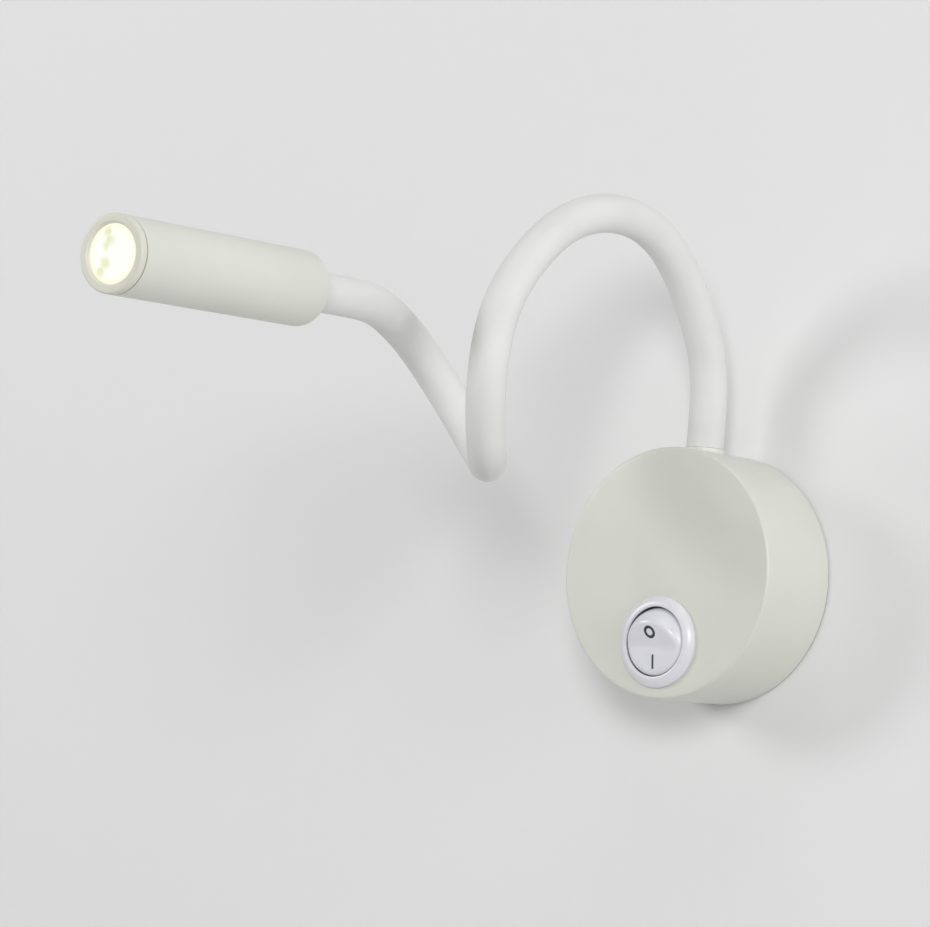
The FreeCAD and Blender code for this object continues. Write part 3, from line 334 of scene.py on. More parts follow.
def finished(name, bm, place, smooth_below=SMOOTH_BELOW):
    """Turns a bmesh into an object at the origin with its place in its mesh, shaded by angle."""
    bmesh.ops.recalc_face_normals(bm, faces=bm.faces[:])
    bmesh.ops.transform(bm, matrix=place, verts=bm.verts[:])
    mesh = bpy.data.meshes.new(name)
    bm.to_mesh(mesh)
    bm.free()
    mesh.shade_smooth()
    mesh.set_sharp_from_angle(angle=smooth_below)
    piece = bpy.data.objects.new(name, mesh)
    bpy.context.scene.collection.objects.link(piece)
    return piece


def lathed(name, outline, closed, sides, place, smooth_below=SMOOTH_BELOW):
    """A piece turned from an outline and put at its place."""
    bm = bmesh.new()
    turned(bm, outline, closed, sides)
    return finished(name, bm, place, smooth_below)


def corners_of(made):
    return [item for item in made["geom"] if isinstance(item, bmesh.types.BMVert)]


def placed(corners, ring):
    """Puts corners, in turn round the local Z axis, at the ring's (radius, height) points in mm."""
    corners = sorted(corners, key=lambda corner: math.atan2(corner.co.y, corner.co.x) % math.tau)
    for number, (corner, (radius, height)) in enumerate(zip(corners, ring)):
        angle = math.tau * number / len(corners)
        corner.co = Vector((radius * math.cos(angle), radius * math.sin(angle), height)) * MM


def carved(piece, cutters, operation="DIFFERENCE", smooth_below=SMOOTH_BELOW):
    """Cuts each cutter out of the piece, or joins it on, and keeps the result as plain mesh."""
    for cutter in cutters:
        step = piece.modifiers.new("carve", "BOOLEAN")
        step.operation = operation
        step.solver = "EXACT"
        step.object = cutter
    bpy.context.view_layer.update()
    done = bpy.data.meshes.new_from_object(piece.evaluated_get(bpy.context.evaluated_depsgraph_get()))
    piece.modifiers.clear()
    old = piece.data
    piece.data = done
    done.name = piece.name
    bpy.data.meshes.remove(old)
    done.shade_smooth()
    done.set_sharp_from_angle(angle=smooth_below)
    for cutter in cutters:
        mesh = cutter.data
        bpy.data.objects.remove(cutter)
        bpy.data.meshes.remove(mesh)


def cutter_rod(radius, low, high, place, sides, radius_high=None):
    """A round cutter from low to high along the Z axis of its place, a cone if it gets radius_high."""
    bm = bmesh.new()
    bmesh.ops.create_cone(bm, cap_ends=True, segments=sides, radius1=mm(radius),
                          radius2=mm(radius_high or radius), depth=mm(high - low),
                          matrix=Matrix.Translation((0, 0, mm(low + high) / 2)))
    return finished("cutter", bm, place)


def cutter_box(sides, low, high):
    """A box of two sides about the switch's axis, from low to high over the wall."""
    bm = bmesh.new()
    bmesh.ops.create_cube(bm, size=1.0)
    bmesh.ops.scale(bm, vec=[mm(side) for side in (*sides, high - low)], verts=bm.verts[:])
    bmesh.ops.translate(bm, vec=(0, 0, mm(low + high) / 2), verts=bm.verts[:])
    return finished("cutter", bm, SWITCH_PLACE)


def dressed(piece, body, material, slot, *nodes):
    """Gives a finished piece its material and its body, and hides the nodes it stands for; the record slot it
    is handed is not used.
    """
    piece.data.materials.clear()
    piece.data.materials.append(bpy.data.materials[material])
    if nodes:
        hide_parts(*nodes)
    if body:
        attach(piece, body)


# ---- materials ----
def linear(code):
    """sRGB hex colour to linear, with an alpha of 1."""
    channels = []
    for start in (0, 2, 4):
        value = int(code[start:start + 2], 16) / 255
        channels.append(value / 12.92 if value <= 0.04045 else ((value + 0.055) / 1.055) ** 2.4)
    return (*channels, 1.0)


def add(tree, kind, sets=None, links=None, **settings):
    """Adds a node: sets gives socket values, links maps its sockets to (node, output)."""
    node = tree.nodes.new(kind)
    for key, value in settings.items():
        setattr(node, key, value)
    for key, value in (sets or {}).items():
        node.inputs[key].default_value = value
    for key, (source, output) in (links or {}).items():
        tree.links.new(source.outputs[output], node.inputs[key])
    return node


def blank(name):
    """Makes a material with only an output and a Principled shader; returns its tree and that shader."""
    material = bpy.data.materials.new(name)
    material.use_nodes = True
    tree = material.node_tree
    tree.nodes.clear()
    shader = tree.nodes.new("ShaderNodeBsdfPrincipled")
    output = tree.nodes.new("ShaderNodeOutputMaterial")
    tree.links.new(shader.outputs[0], output.inputs["Surface"])
    return tree, shader


def ramp(tree, source, low, high, low_colour, high_colour):
    """Colour that goes from low_colour to high_colour as source goes from low to high."""
    node = add(tree, "ShaderNodeValToRGB", links={"Fac": source})
    node.color_ramp.elements[0].position = low
    node.color_ramp.elements[0].color = low_colour
    node.color_ramp.elements[1].position = high
    node.color_ramp.elements[1].color = high_colour
    return node


def speckle(tree, grain_mm, detail, roughness, where=None):
    """Noise whose features are about grain_mm across, in the object's own millimetres."""
    place = where or (add(tree, "ShaderNodeTexCoord"), "Object")
    return add(tree, "ShaderNodeTexNoise", {"Scale": PER_METRE / (2 * grain_mm), "Detail": detail,
                                            "Roughness": roughness}, {"Vector": place})


def bumped(tree, shader, source, depth_mm, strength=1.0):
    bump = add(tree, "ShaderNodeBump", {"Distance": mm(depth_mm), "Strength": strength}, {"Height": source})
    tree.links.new(bump.outputs["Normal"], shader.inputs["Normal"])


TINT_RANGE = (0.35, 0.65)    # the noise levels between which a finish goes from its low to its high colour
GLOSS_RANGE = (0.3, 0.7)     # and from its low to its high roughness
DARKER = 0.93


def finish(name, low, high, tint, grain, rough, spread, depth_mm, strength=1.0):
    """A material whose colour goes from low to high with the noise tint, while its roughness and its
    relief follow the noise grain.  Each noise is (size in millimetres, detail, roughness)."""
    tree, shader = blank(name)
    cloud = speckle(tree, *tint)
    fine = cloud if grain == tint else speckle(tree, *grain)
    shade = ramp(tree, (cloud, "Fac"), *TINT_RANGE, low, high)
    tree.links.new(shade.outputs["Color"], shader.inputs["Base Color"])
    gloss = add(tree, "ShaderNodeMapRange", {"From Min": GLOSS_RANGE[0], "From Max": GLOSS_RANGE[1],
                                             "To Min": rough - spread, "To Max": rough + spread},
                {"Value": (fine, "Fac")})
    tree.links.new(gloss.outputs["Result"], shader.inputs["Roughness"])
    bumped(tree, shader, (fine, "Fac"), depth_mm, strength)
    return shader


def satin_enamel(name, low, high, roughness):
    """Baked satin enamel on spun aluminium: even cream, with the faint orange peel of sprayed paint."""
    cloud, peel = (16.0, 2.0, 0.5), (0.9, 2.0, 0.45)
    shader = finish(name, linear(low), linear(high), cloud, peel, roughness, 0.05, 0.012)
    shader.inputs["IOR"].default_value = 1.5


def silicone_sleeve():
    """Extruded silicone sleeve: matte bright white with a fine drag along it and a soft bloom."""
    shader = finish("extruded_white_silicone", linear("DADAD9"), linear("DEDEDC"), (9.0, 2.0, 0.5),
                    (0.45, 3.0, 0.6), 0.59, 0.07, 0.010)
    shader.inputs["IOR"].default_value = 1.41
    shader.inputs["Sheen Weight"].default_value = 0.08
    shader.inputs["Sheen Roughness"].default_value = 0.5


def gloss_polycarbonate():
    """Injection-moulded gloss polycarbonate: cool bright white with very faint flow waves."""
    flow = (5.0, 1.0, 0.4)
    shader = finish("gloss_moulded_polycarbonate", linear("DDDDE3"), linear("E1E1E7"), flow, flow, 0.28, 0.03,
                    0.02, 0.4)
    shader.inputs["IOR"].default_value = 1.58


def moulded(name, code, rough, grain_mm, depth_mm):
    """Moulded plastic or rubber: one colour broken by the fine texture of the mould."""
    dark = (*(channel * DARKER for channel in linear(code)[:3]), 1.0)
    grain = (grain_mm, 2.0, 0.5)
    finish(name, dark, linear(code), grain, grain, rough, 0.05, depth_mm)


def plated(name, low, high, rough, grain_mm):
    """Plated or machined metal: grey mirror broken by fine drawn or turned lines."""
    lines = (grain_mm, 3.0, 0.6)
    shader = finish(name, linear(low), linear(high), lines, lines, rough, 0.08, 0.006)
    shader.inputs["Metallic"].default_value = 1.0


def circuit_laminate():
    """Glass laminate under green solder mask: darker mask over the faint lines of copper tracks."""
    tree, shader = blank("green_circuit_laminate")
    place = add(tree, "ShaderNodeTexCoord")
    tracks = add(tree, "ShaderNodeTexBrick", {"Scale": 260.0, "Color1": linear("1E5A30"),
                                              "Color2": linear("1E5A30"), "Mortar": linear("2E7A44"),
                                              "Mortar Size": 0.03},
                 {"Vector": (place, "Object")})
    tree.links.new(tracks.outputs["Color"], shader.inputs["Base Color"])
    bumped(tree, shader, (tracks, "Fac"), 0.03)
    shader.inputs["Roughness"].default_value = 0.32


def lit_optic(glow):
    """Moulded clear optic with the LED lit behind it: white glow, warmer at its rim, with faint greenish
    images of the LED in its facets."""
    tree, shader = blank("lit_collimator_optic")
    place = add(tree, "ShaderNodeTexCoord")
    local = add(tree, "ShaderNodeMapping", {"Location": HEAD_PLACE.translation,
                                            "Rotation": HEAD_PLACE.to_euler()},
                {"Vector": (place, "Object")}, vector_type="TEXTURE")
    face = mm(HEAD_LENGTH - BEZEL_LIP + LENS_BOSS)
    chips = None
    for x, y, size in CHIP_IMAGES:
        offset = add(tree, "ShaderNodeVectorMath", {1: (mm(x), mm(y), face)}, {0: (local, "Vector")},
                     operation="DISTANCE")
        spot = add(tree, "ShaderNodeMapRange", {"From Min": 0.0, "From Max": mm(size), "To Min": 1.0,
                                                "To Max": 0.0},
                   {"Value": (offset, "Value")}, interpolation_type="SMOOTHERSTEP")
        chips = spot if chips is None else add(tree, "ShaderNodeMath", None, {0: (chips, 0), 1: (spot, 0)},
                                               operation="MAXIMUM")
    mottle = speckle(tree, 0.7, 2.0, 0.6, (local, "Vector"))
    broken = add(tree, "ShaderNodeMath", None, {0: (chips, 0), 1: (mottle, "Fac")}, operation="MULTIPLY")
    shine = ramp(tree, (broken, 0), 0.0, CHIP_TINT_AT, linear("FFFEF8"), linear("E0E7B0"))
    flat = add(tree, "ShaderNodeVectorMath", {1: (1, 1, 0)}, {0: (local, "Vector")}, operation="MULTIPLY")
    across = add(tree, "ShaderNodeVectorMath", None, {0: (flat, "Vector")}, operation="LENGTH")
    rim = add(tree, "ShaderNodeMapRange", {"From Min": mm(APERTURE_RADIUS - GLOW_RIM),
                                           "From Max": mm(APERTURE_RADIUS)},
              {"Value": (across, "Value")}, interpolation_type="SMOOTHSTEP")
    edge = ramp(tree, (rim, "Result"), 0.0, 1.0, (1, 1, 1, 1), linear("FEFCE4"))
    both = add(tree, "ShaderNodeMix", {"Factor": 1.0}, None, data_type="RGBA", blend_type="MULTIPLY")
    tree.links.new(shine.outputs["Color"], both.inputs["A"])
    tree.links.new(edge.outputs["Color"], both.inputs["B"])
    tree.links.new(both.outputs["Result"], shader.inputs["Emission Color"])
    shader.inputs["Emission Strength"].default_value = glow
    shader.inputs["Base Color"].default_value = linear("30302E")
    shader.inputs["Roughness"].default_value = 0.15


# ---- settings ----
class BaseSettings(bpy.types.PropertyGroup):
    segments: bpy.props.IntProperty(
        name="Segments", description="Facets round the drum on the wall", default=192, min=48, max=512)
    edge_bands: bpy.props.IntProperty(
        name="Edge bands", description="Bands that round the drum's front edge", default=6, min=2, max=16)
    enamel_roughness: bpy.props.FloatProperty(
        name="Enamel roughness", description="How matt the satin enamel is", default=0.4,
        subtype="FACTOR", min=0.0, max=1.0)


class SwitchSettings(bpy.types.PropertyGroup):
    segments: bpy.props.IntProperty(
        name="Segments", description="Facets round the bezel and the rocker", default=128, min=48, max=256)
    mark_lift: bpy.props.FloatProperty(
        name="Mark lift", description="How far the printed marks stand over the rocker's face",
        default=0.00003, unit="LENGTH", precision=6)


class ArmSettings(bpy.types.PropertyGroup):
    sides: bpy.props.IntProperty(
        name="Sides", description="Facets round the sleeve", default=48, min=16, max=128)
    ring_spacing: bpy.props.FloatProperty(
        name="Ring spacing", description="Distance between two rings along the sleeve",
        default=0.0014, unit="LENGTH", precision=4)
    smoothing: bpy.props.FloatProperty(
        name="Smoothing", description="Length over which the route's corners are evened out",
        default=0.032, unit="LENGTH", precision=4)


class HeadSettings(bpy.types.PropertyGroup):
    segments: bpy.props.IntProperty(
        name="Segments", description="Facets round the lamp head", default=128, min=48, max=256)
    glow: bpy.props.FloatProperty(
        name="Glow", description="Strength of the light that the optic shows", default=0.98,
        min=0.0, max=10.0)


def light_power(name, side, power):
    return bpy.props.FloatProperty(name=name, description="Power of the soft light from %s, in watts" % side,
                                   default=power, min=0.0, max=200.0)


class StageSettings(bpy.types.PropertyGroup):
    wall_colour: bpy.props.FloatVectorProperty(
        name="Wall colour", description="Linear colour of the painted wall", default=linear("E9E9E9")[:3],
        subtype="COLOR", size=3)
    daylight: bpy.props.FloatProperty(
        name="Daylight", description="Strength of the even light from all round", default=0.31,
        min=0.0, max=5.0)
    front_light: light_power("Front light", "the front", 9.4)
    right_light: light_power("Right light", "the right", 8.4)
    left_light: light_power("Left light", "the left", 5.6)
    top_light: light_power("Top light", "above", 2.2)


# ---- drum ----
class LAMP_OT_base_drum(bpy.types.Operator):
    """Spun shell of the wall drum, with its rounded edge and its switch, arm and screw holes"""
    bl_idname = "reading_lamp.base_drum"
    bl_label = "Base drum"

    def execute(self, context):
        settings = context.scene.reading_lamp_base
        inner = DRUM_RADIUS - DRUM_WALL
        back = DRUM_DEPTH - DRUM_WALL
        outline = [(inner, 0)] + arc((DRUM_RADIUS - REAR_EDGE, REAR_EDGE), REAR_EDGE, -90, 0, REAR_BANDS)
        outline += [(DRUM_RADIUS, ring) for ring in (*DRUM_RINGS, DRUM_DEPTH - EDGE_BAND)]
        edge = (DRUM_RADIUS - DRUM_EDGE, DRUM_DEPTH - DRUM_EDGE)
        outline += arc(edge, DRUM_EDGE, 0, 90, settings.edge_bands)
        outline += [(DRUM_RADIUS - EDGE_BAND, DRUM_DEPTH), (FRONT_RING, DRUM_DEPTH), (0, DRUM_DEPTH),
                    (0, back), (inner - DRUM_CORNER, back), (inner, back - DRUM_CORNER)]
        shell = lathed("base_drum", outline, True, settings.segments, OUT_OF_WALL)
        top = moved(0, ARM_SEAT.y, 0)
        inside, outside = DRUM_RADIUS - HOLE_REACH, DRUM_RADIUS + HOLE_MARGIN
        cutters = [cutter_rod(CUTOUT_RADIUS, DRUM_DEPTH - CUTOUT_REACH, DRUM_DEPTH + HOLE_MARGIN,
                              SWITCH_PLACE, CUTOUT_SIDES),
                   cutter_rod(SPOT_RADIUS, ARM_SEAT.z, outside + HOLE_MARGIN, top, SPOT_SIDES),
                   cutter_rod(SEAT_HOLE, inside, outside, top, SEAT_SIDES)]
        for turn in (0.0, math.pi):
            across = moved(0, -SHELL_SCREW_DEPTH, 0) @ Matrix.Rotation(turn, 4, "X")
            cutters.append(cutter_rod(SCREW_HOLE, inside, outside, across, SCREW_SIDES))
            cutters.append(cutter_rod(SCREW_HOLE, DRUM_RADIUS - SINK_DEPTH, DRUM_RADIUS + SINK_MARGIN, across,
                                      SCREW_SIDES, SCREW_SINK))
        carved(shell, cutters)
        dressed(shell, "base", "satin_cream_enamel", "cream_enamel", "base_shell")
        return {"FINISHED"}


# ---- switch ----
class LAMP_OT_switch_bezel(bpy.types.Operator):
    """Snap-in housing of the round switch, with its domed flange, barrel and contact chamber"""
    bl_idname = "reading_lamp.switch_bezel"
    bl_label = "Switch bezel"

    def execute(self, context):
        settings = context.scene.reading_lamp_switch
        face = DRUM_DEPTH + FLANGE_HEIGHT
        rear = DRUM_DEPTH - BARREL_DEPTH
        floor = rear + CAVITY_FLOOR
        rim = DRUM_DEPTH + FLANGE_RIM
        foot = rim + FLANGE_ROUND
        wide = FLANGE_RADIUS - FLANGE_ROUND
        slope = []
        for number in range(FLANGE_BANDS + 1):
            share = number / FLANGE_BANDS
            height = foot + (face - foot) * math.sin(share * math.pi / 2) ** FLANGE_FULLNESS
            slope.append((wide + (FLANGE_LAND_RADIUS - wide) * share, height))
        outline = [(0, rear), (BARREL_RADIUS - BARREL_CORNER, rear), (BARREL_RADIUS, rear + BARREL_CORNER),
                   (BARREL_RADIUS, DRUM_DEPTH), (FLANGE_RADIUS - FLANGE_FOOT, DRUM_DEPTH),
                   (FLANGE_RADIUS, DRUM_DEPTH + FLANGE_FOOT), (FLANGE_RADIUS, rim)] + slope
        outline += [(FLANGE_LAND_RADIUS - FLANGE_LAND, face)]
        outline += [(OPENING_RADIUS + out, face - down) for out, down in OPENING_EDGE]
        outline += [(CAVITY_RADIUS, face - CAVITY_TOP), (CAVITY_RADIUS, floor), (0, floor)]
        bezel = lathed("switch_bezel", outline, True, settings.segments, SWITCH_PLACE, BEZEL_SMOOTH)
        block = cutter_box((2 * BLOCK_HALF_X, 2 * BLOCK_HALF_Z), BLOCK_REAR, floor)
        carved(bezel, [block], "UNION", BEZEL_SMOOTH)
        chamber = cutter_box((2 * CHAMBER_HALF_X, 2 * CHAMBER_HALF_Z), BLOCK_REAR + CHAMBER_WALL,
                             floor + HOLE_MARGIN)
        bearing = cutter_rod(AXLE_RADIUS + AXLE_GAP, -CUTOUT_RADIUS, CUTOUT_RADIUS, AXLE_PLACE, AXLE_SIDES)
        carved(bezel, [chamber, bearing], "DIFFERENCE", BEZEL_SMOOTH)
        dressed(bezel, "base", "gloss_moulded_polycarbonate", "white_gloss_plastic", "switch_housing")
        return {"FINISHED"}


def rocker_face(along):
    """Height of the rocker's face over its pivot, with the valley between its two halves rounded."""
    slope = math.tan(ROCKER_THROW)
    flat = ROCKER_FACE / math.cos(ROCKER_THROW) + slope * abs(along)
    blend = ROCKER_VALLEY * math.sin(ROCKER_THROW)
    if abs(along) >= blend:
        return flat
    edge = ROCKER_FACE / math.cos(ROCKER_THROW) + slope * blend
    return edge + ROCKER_VALLEY * math.cos(ROCKER_THROW) - math.sqrt(ROCKER_VALLEY ** 2 - along ** 2)


def ball_radius(angle):
    """Radius of the rocker's ball-shaped flank, a little less towards the upper end."""
    return ROCKER_RADIUS * (1 - ROCKER_TAPER * max(math.sin(angle), 0) ** 2)


def rim_radius(angle):
    """Where the face meets the ball-shaped flank, in the direction of angle."""
    low, high = 0.0, ROCKER_RADIUS
    for _ in range(HALVINGS):
        middle = (low + high) / 2
        if math.hypot(middle, rocker_face(middle * math.sin(angle))) < ball_radius(angle):
            low = middle
        else:
            high = middle
    return low


class LAMP_OT_rocker_button(bpy.types.Operator):
    """Round rocker with its ball-shaped flank, V face and axle stubs, and the printed O and I"""
    bl_idname = "reading_lamp.rocker_button"
    bl_label = "Rocker button"

    def ring_to(self, bm, loop, ring):
        """Extrudes the open loop to a ring of (radius, height) points and returns its new edges."""
        made = bmesh.ops.extrude_edge_only(bm, edges=loop)
        placed(corners_of(made), ring)
        return [item for item in made["geom"] if isinstance(item, bmesh.types.BMEdge)]

    def profile(self, angle):
        """The rocker's outline from its skirt up its flank, over its rounded rim and across its face."""
        ball = ball_radius(angle)
        rim = rim_radius(angle)
        corner = Vector((rim, rocker_face(rim * math.sin(angle))))
        low = -math.asin(ROCKER_SKIRT / ball)
        top = math.atan2(corner.y, corner.x) - ROCKER_RIM / ball
        points = []
        for number in range(FLANK_BANDS + 1):
            lift = low + (top - low) * number / FLANK_BANDS
            points.append((ball * math.cos(lift), ball * math.sin(lift)))
        start = Vector(points[-1])
        end_radius = rim - ROCKER_RIM
        end = Vector((end_radius, rocker_face(end_radius * math.sin(angle))))
        for number in range(1, RIM_BANDS + 1):
            share = number / RIM_BANDS
            point = start.lerp(corner, share).lerp(corner.lerp(end, share), share)
            points.append((point.x, point.y))
        for number in range(1, FACE_BANDS):
            radius = end_radius * (1 - number / FACE_BANDS)
            points.append((radius, rocker_face(radius * math.sin(angle))))
        return points

    def execute(self, context):
        settings = context.scene.reading_lamp_switch
        steps = settings.segments
        bm = bmesh.new()
        bmesh.ops.create_circle(bm, cap_ends=False, radius=mm(HOLLOW_RADIUS), segments=steps)
        placed(bm.verts, [(HOLLOW_RADIUS, HOLLOW_TOP)] * steps)
        hollow = bm.edges[:]
        outside = zip(*(self.profile(math.tau * number / steps) for number in range(steps)))
        stem = ((STEM_RADIUS, HOLLOW_TOP), (STEM_RADIUS, -STEM_END), (STEM_BORE, -STEM_END),
                (STEM_BORE, STEM_FLOOR))
        for rings in ([[(HOLLOW_RADIUS, -ROCKER_SKIRT)] * steps, *outside], [[end] * steps for end in stem]):
            loop = hollow
            for ring in rings:
                loop = self.ring_to(bm, loop, ring)
            bmesh.ops.edgeloop_fill(bm, edges=loop)
        rocker = finished("rocker_button", bm, ROCKER_PLACE, ROCKER_SMOOTH)
        root = HOLLOW_RADIUS + AXLE_ROOT
        stubs = [cutter_rod(AXLE_RADIUS, low, high, AXLE_PLACE, AXLE_SIDES)
                 for low, high in ((-AXLE_END, -root), (root, AXLE_END))]
        carved(rocker, stubs, "UNION", ROCKER_SMOOTH)
        dressed(rocker, "rocker", "gloss_moulded_polycarbonate", "white_gloss_plastic", "rocker")
        self.marks(settings)
        return {"FINISHED"}

    def marks(self, settings):
        """Printed marks: thin plates that follow the face, a ring on one half and a bar on the other."""
        bm = bmesh.new()
        bore, rim = RING_MARK - RING_STROKE / 2, RING_MARK + RING_STROKE / 2
        bmesh.ops.create_circle(bm, cap_ends=False, radius=mm(bore), segments=RING_SIDES,
                                matrix=moved(0, RING_MARK_UP, 0))
        made = bmesh.ops.extrude_edge_only(bm, edges=bm.edges[:])
        bmesh.ops.scale(bm, vec=(rim / bore, rim / bore, 1), space=moved(0, -RING_MARK_UP, 0),
                        verts=corners_of(made))
        self.laid(bm, "switch_mark_off", settings.mark_lift)
        bm = bmesh.new()
        bmesh.ops.create_grid(bm, x_segments=2, y_segments=BAR_ROWS, size=0.5)
        bmesh.ops.scale(bm, vec=(mm(BAR_STROKE), mm(BAR_MARK), 1), verts=bm.verts[:])
        bar = moved(BAR_MARK_RIGHT, BAR_MARK_UP, 0) @ Matrix.Rotation(BAR_TURN, 4, "Z")
        bmesh.ops.transform(bm, matrix=bar, verts=bm.verts[:])
        self.laid(bm, "switch_mark_on", settings.mark_lift)

    def laid(self, bm, name, lift):
        """Lays a flat mark on the rocker's face, as a plate from lift above it to lift below it."""
        for corner in bm.verts:
            corner.co.z = mm(rocker_face(corner.co.y * PER_METRE)) + lift
        made = bmesh.ops.extrude_face_region(bm, geom=bm.faces[:])
        bmesh.ops.translate(bm, vec=(0, 0, -2 * lift), verts=corners_of(made))
        mark = finished(name, bm, ROCKER_PLACE)
        dressed(mark, "rocker", "grey_marking_ink", "white_gloss_plastic")


# ---- arm ----
def evened_route(smoothing):
    """Fine table of the arm's centre line: stations, points, directions and steady side vectors."""
    count = round(ROUTE_LENGTH / ROUTE_STEP)
    step = ROUTE_LENGTH / count
    reach = round(smoothing * PER_METRE / step / 2)
    window = 2 * (reach // 2) + 1

    def raw(number):
        if number < 0:
            return route_point(0)[0] + Vector((0, 0, step * number))
        if number > count:
            return NECK + HEAD_WAY * (step * (number - count))
        return route_point(step * number)[0]

    margin = round(ROUTE_MARGIN / step)
    first, last = -margin, count + margin
    rough = [raw(number) for number in range(first - 2 * reach, last + 2 * reach + 1)]
    for _ in range(EVEN_PASSES):
        sums = [Vector((0, 0, 0))]
        for point in rough:
            sums.append(sums[-1] + point)
        rough = [(sums[number + window] - sums[number]) / window for number in range(len(rough) - window + 1)]
    trimmed = (len(rough) - (last - first + 1)) // 2
    points = rough[trimmed:trimmed + last - first + 1]
    stations = [step * number for number in range(first, last + 1)]
    ways = []
    for number in range(len(points)):
        before, after = points[max(number - 1, 0)], points[min(number + 1, len(points) - 1)]
        ways.append((after - before).normalized())
    side = Vector((1, 0, 0))
    sides = []
    for way in ways:
        side = (side - way * side.dot(way)).normalized()
        sides.append(side)
    return stations, points, ways, sides


def bent(bm, table):
    """Bends a straight piece, built along local Z at its stations, on to the route."""
    stations, points, ways, sides = table
    step = stations[1] - stations[0]
    for corner in bm.verts:
        place = (corner.co.z * PER_METRE - stations[0]) / step
        number = min(max(int(place), 0), len(stations) - 2)
        share = place - number
        point = points[number].lerp(points[number + 1], share)
        way = ways[number].lerp(ways[number + 1], share).normalized()
        side = sides[number].lerp(sides[number + 1], share)
        side = (side - way * side.dot(way)).normalized()
        corner.co = point * MM + side * corner.co.x + way.cross(side) * corner.co.y


def stops_between(first, last, spacing):
    """Even stops from first to last, no further apart than spacing."""
    count = max(2, math.ceil((last - first) / spacing))
    return [first + (last - first) * number / count for number in range(count + 1)]


def across_joint(piece, number, table, first, last):
    """Works out over what length a piece could bend about one arm joint, between its two ends, stops if that
    is too short, and bakes the piece's place into its mesh; it sets up no bend.
    """
    stations, points, ways = table[:3]

    def nearest(station):
        return min(range(len(stations)), key=lambda index: abs(stations[index] - station))

    def ahead(station):
        return (points[nearest(station)] - centre).dot(way)

    middle = nearest(BEND_STATIONS[number])
    centre, way = points[middle], ways[middle]
    reach = min(BEND_REACH, BEND_SHARE * -ahead(first), BEND_SHARE * ahead(last))
    if reach < LEAST_REACH:
        raise RuntimeError("the piece %s is too short to bend" % piece.name)
    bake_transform(piece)


class LAMP_OT_arm(bpy.types.Operator):
    """Flexible arm in six stretches: white sleeve, ribbed gooseneck core and the lamp lead inside"""
    bl_idname = "reading_lamp.arm"
    bl_label = "Flexible arm"

    def execute(self, context):
        settings = context.scene.reading_lamp_arm
        table = evened_route(settings.smoothing)
        spacing = settings.ring_spacing * PER_METRE
        ends = [SLEEVE_START] + SPAN_ENDS + [ROUTE_LENGTH]
        bore = SLEEVE_RADIUS - SLEEVE_WALL
        for number in range(len(BEND_STATIONS)):
            span = (number, table, ends[number], ends[number + 1])
            first, last = span[2:]
            stops = stops_between(first, last, spacing)
            outline = [(SLEEVE_RADIUS, stop) for stop in stops] + [(bore, stop) for stop in reversed(stops)]
            self.stretch("arm_sleeve_", outline, True, settings.sides, span, "extruded_white_silicone",
                         "white_sleeve", "hose")
            outline = []
            for stop in stops_between(first + CORE_INSET, last - CORE_INSET, CORE_PITCH / CORE_STEPS):
                turn = math.tau * (stop / CORE_PITCH % 1)
                outline.append((CORE_RADIUS - CORE_GROOVE * (0.5 + 0.5 * math.cos(turn)), stop))
            outline += [(CORE_BORE, stop) for _, stop in reversed(outline)]
            nodes = ["gooseneck_core_1"] * (number == 0) + ["gooseneck_core_%d" % (number + 2)]
            self.stretch("arm_core_", outline, True, CORE_SIDES, span, "wound_spring_steel", "spring_steel",
                         *nodes)
            if number == 0:
                first = -LEAD_TAIL
            if number == len(BEND_STATIONS) - 1:
                last += LEAD_IN_HEAD
            rod = [(LEAD_RADIUS, stop) for stop in stops_between(first, last, spacing)]
            self.stretch("arm_lead_", [(0, first)] + rod + [(0, last)], False, LEAD_SIDES, span,
                         "grey_lead_sheath", "lead_sheath", "lamp_lead")
        self.tail()
        return {"FINISHED"}

    def stretch(self, stem, outline, closed, sides, span, finish, slot, *nodes):
        """One stretch of the sleeve, the core or the lead, turned straight and bent on to the route."""
        bm = bmesh.new()
        turned(bm, outline, closed, sides)
        bent(bm, span[1])
        piece = finished(stem + str(span[0] + 1), bm, Matrix.Identity(4))
        dressed(piece, None, finish, slot, *nodes)
        across_joint(piece, *span)

    def tail(self):
        """The lead's short rise from the driver's case to the foot of the arm."""
        low = Vector(LEAD_EXIT)
        run = ARM_SEAT - Vector((0, 0, LEAD_TAIL)) - low
        stops = [PER_METRE * number / TAIL_RINGS for number in range(TAIL_RINGS + 1)]
        bm = bmesh.new()
        # Turned one metre long, so that a corner's height is its share of the rise.
        turned(bm, [(0, 0)] + [(LEAD_RADIUS, stop) for stop in stops] + [(0, PER_METRE)], False, LEAD_SIDES)
        for corner in bm.verts:
            share = corner.co.z
            ease = share * share * (3 - 2 * share)
            slope = 6 * share * (1 - share)
            centre = low + Vector((run.x * ease, run.y * ease, run.z * share))
            way = Vector((run.x * slope, run.y * slope, run.z)).normalized()
            side = (Vector((1, 0, 0)) - way * way.x).normalized()
            corner.co = centre * MM + side * corner.co.x + way.cross(side) * corner.co.y
        piece = finished("arm_lead_tail", bm, Matrix.Identity(4))
        dressed(piece, "base", "grey_lead_sheath", "lead_sheath", "lamp_lead")


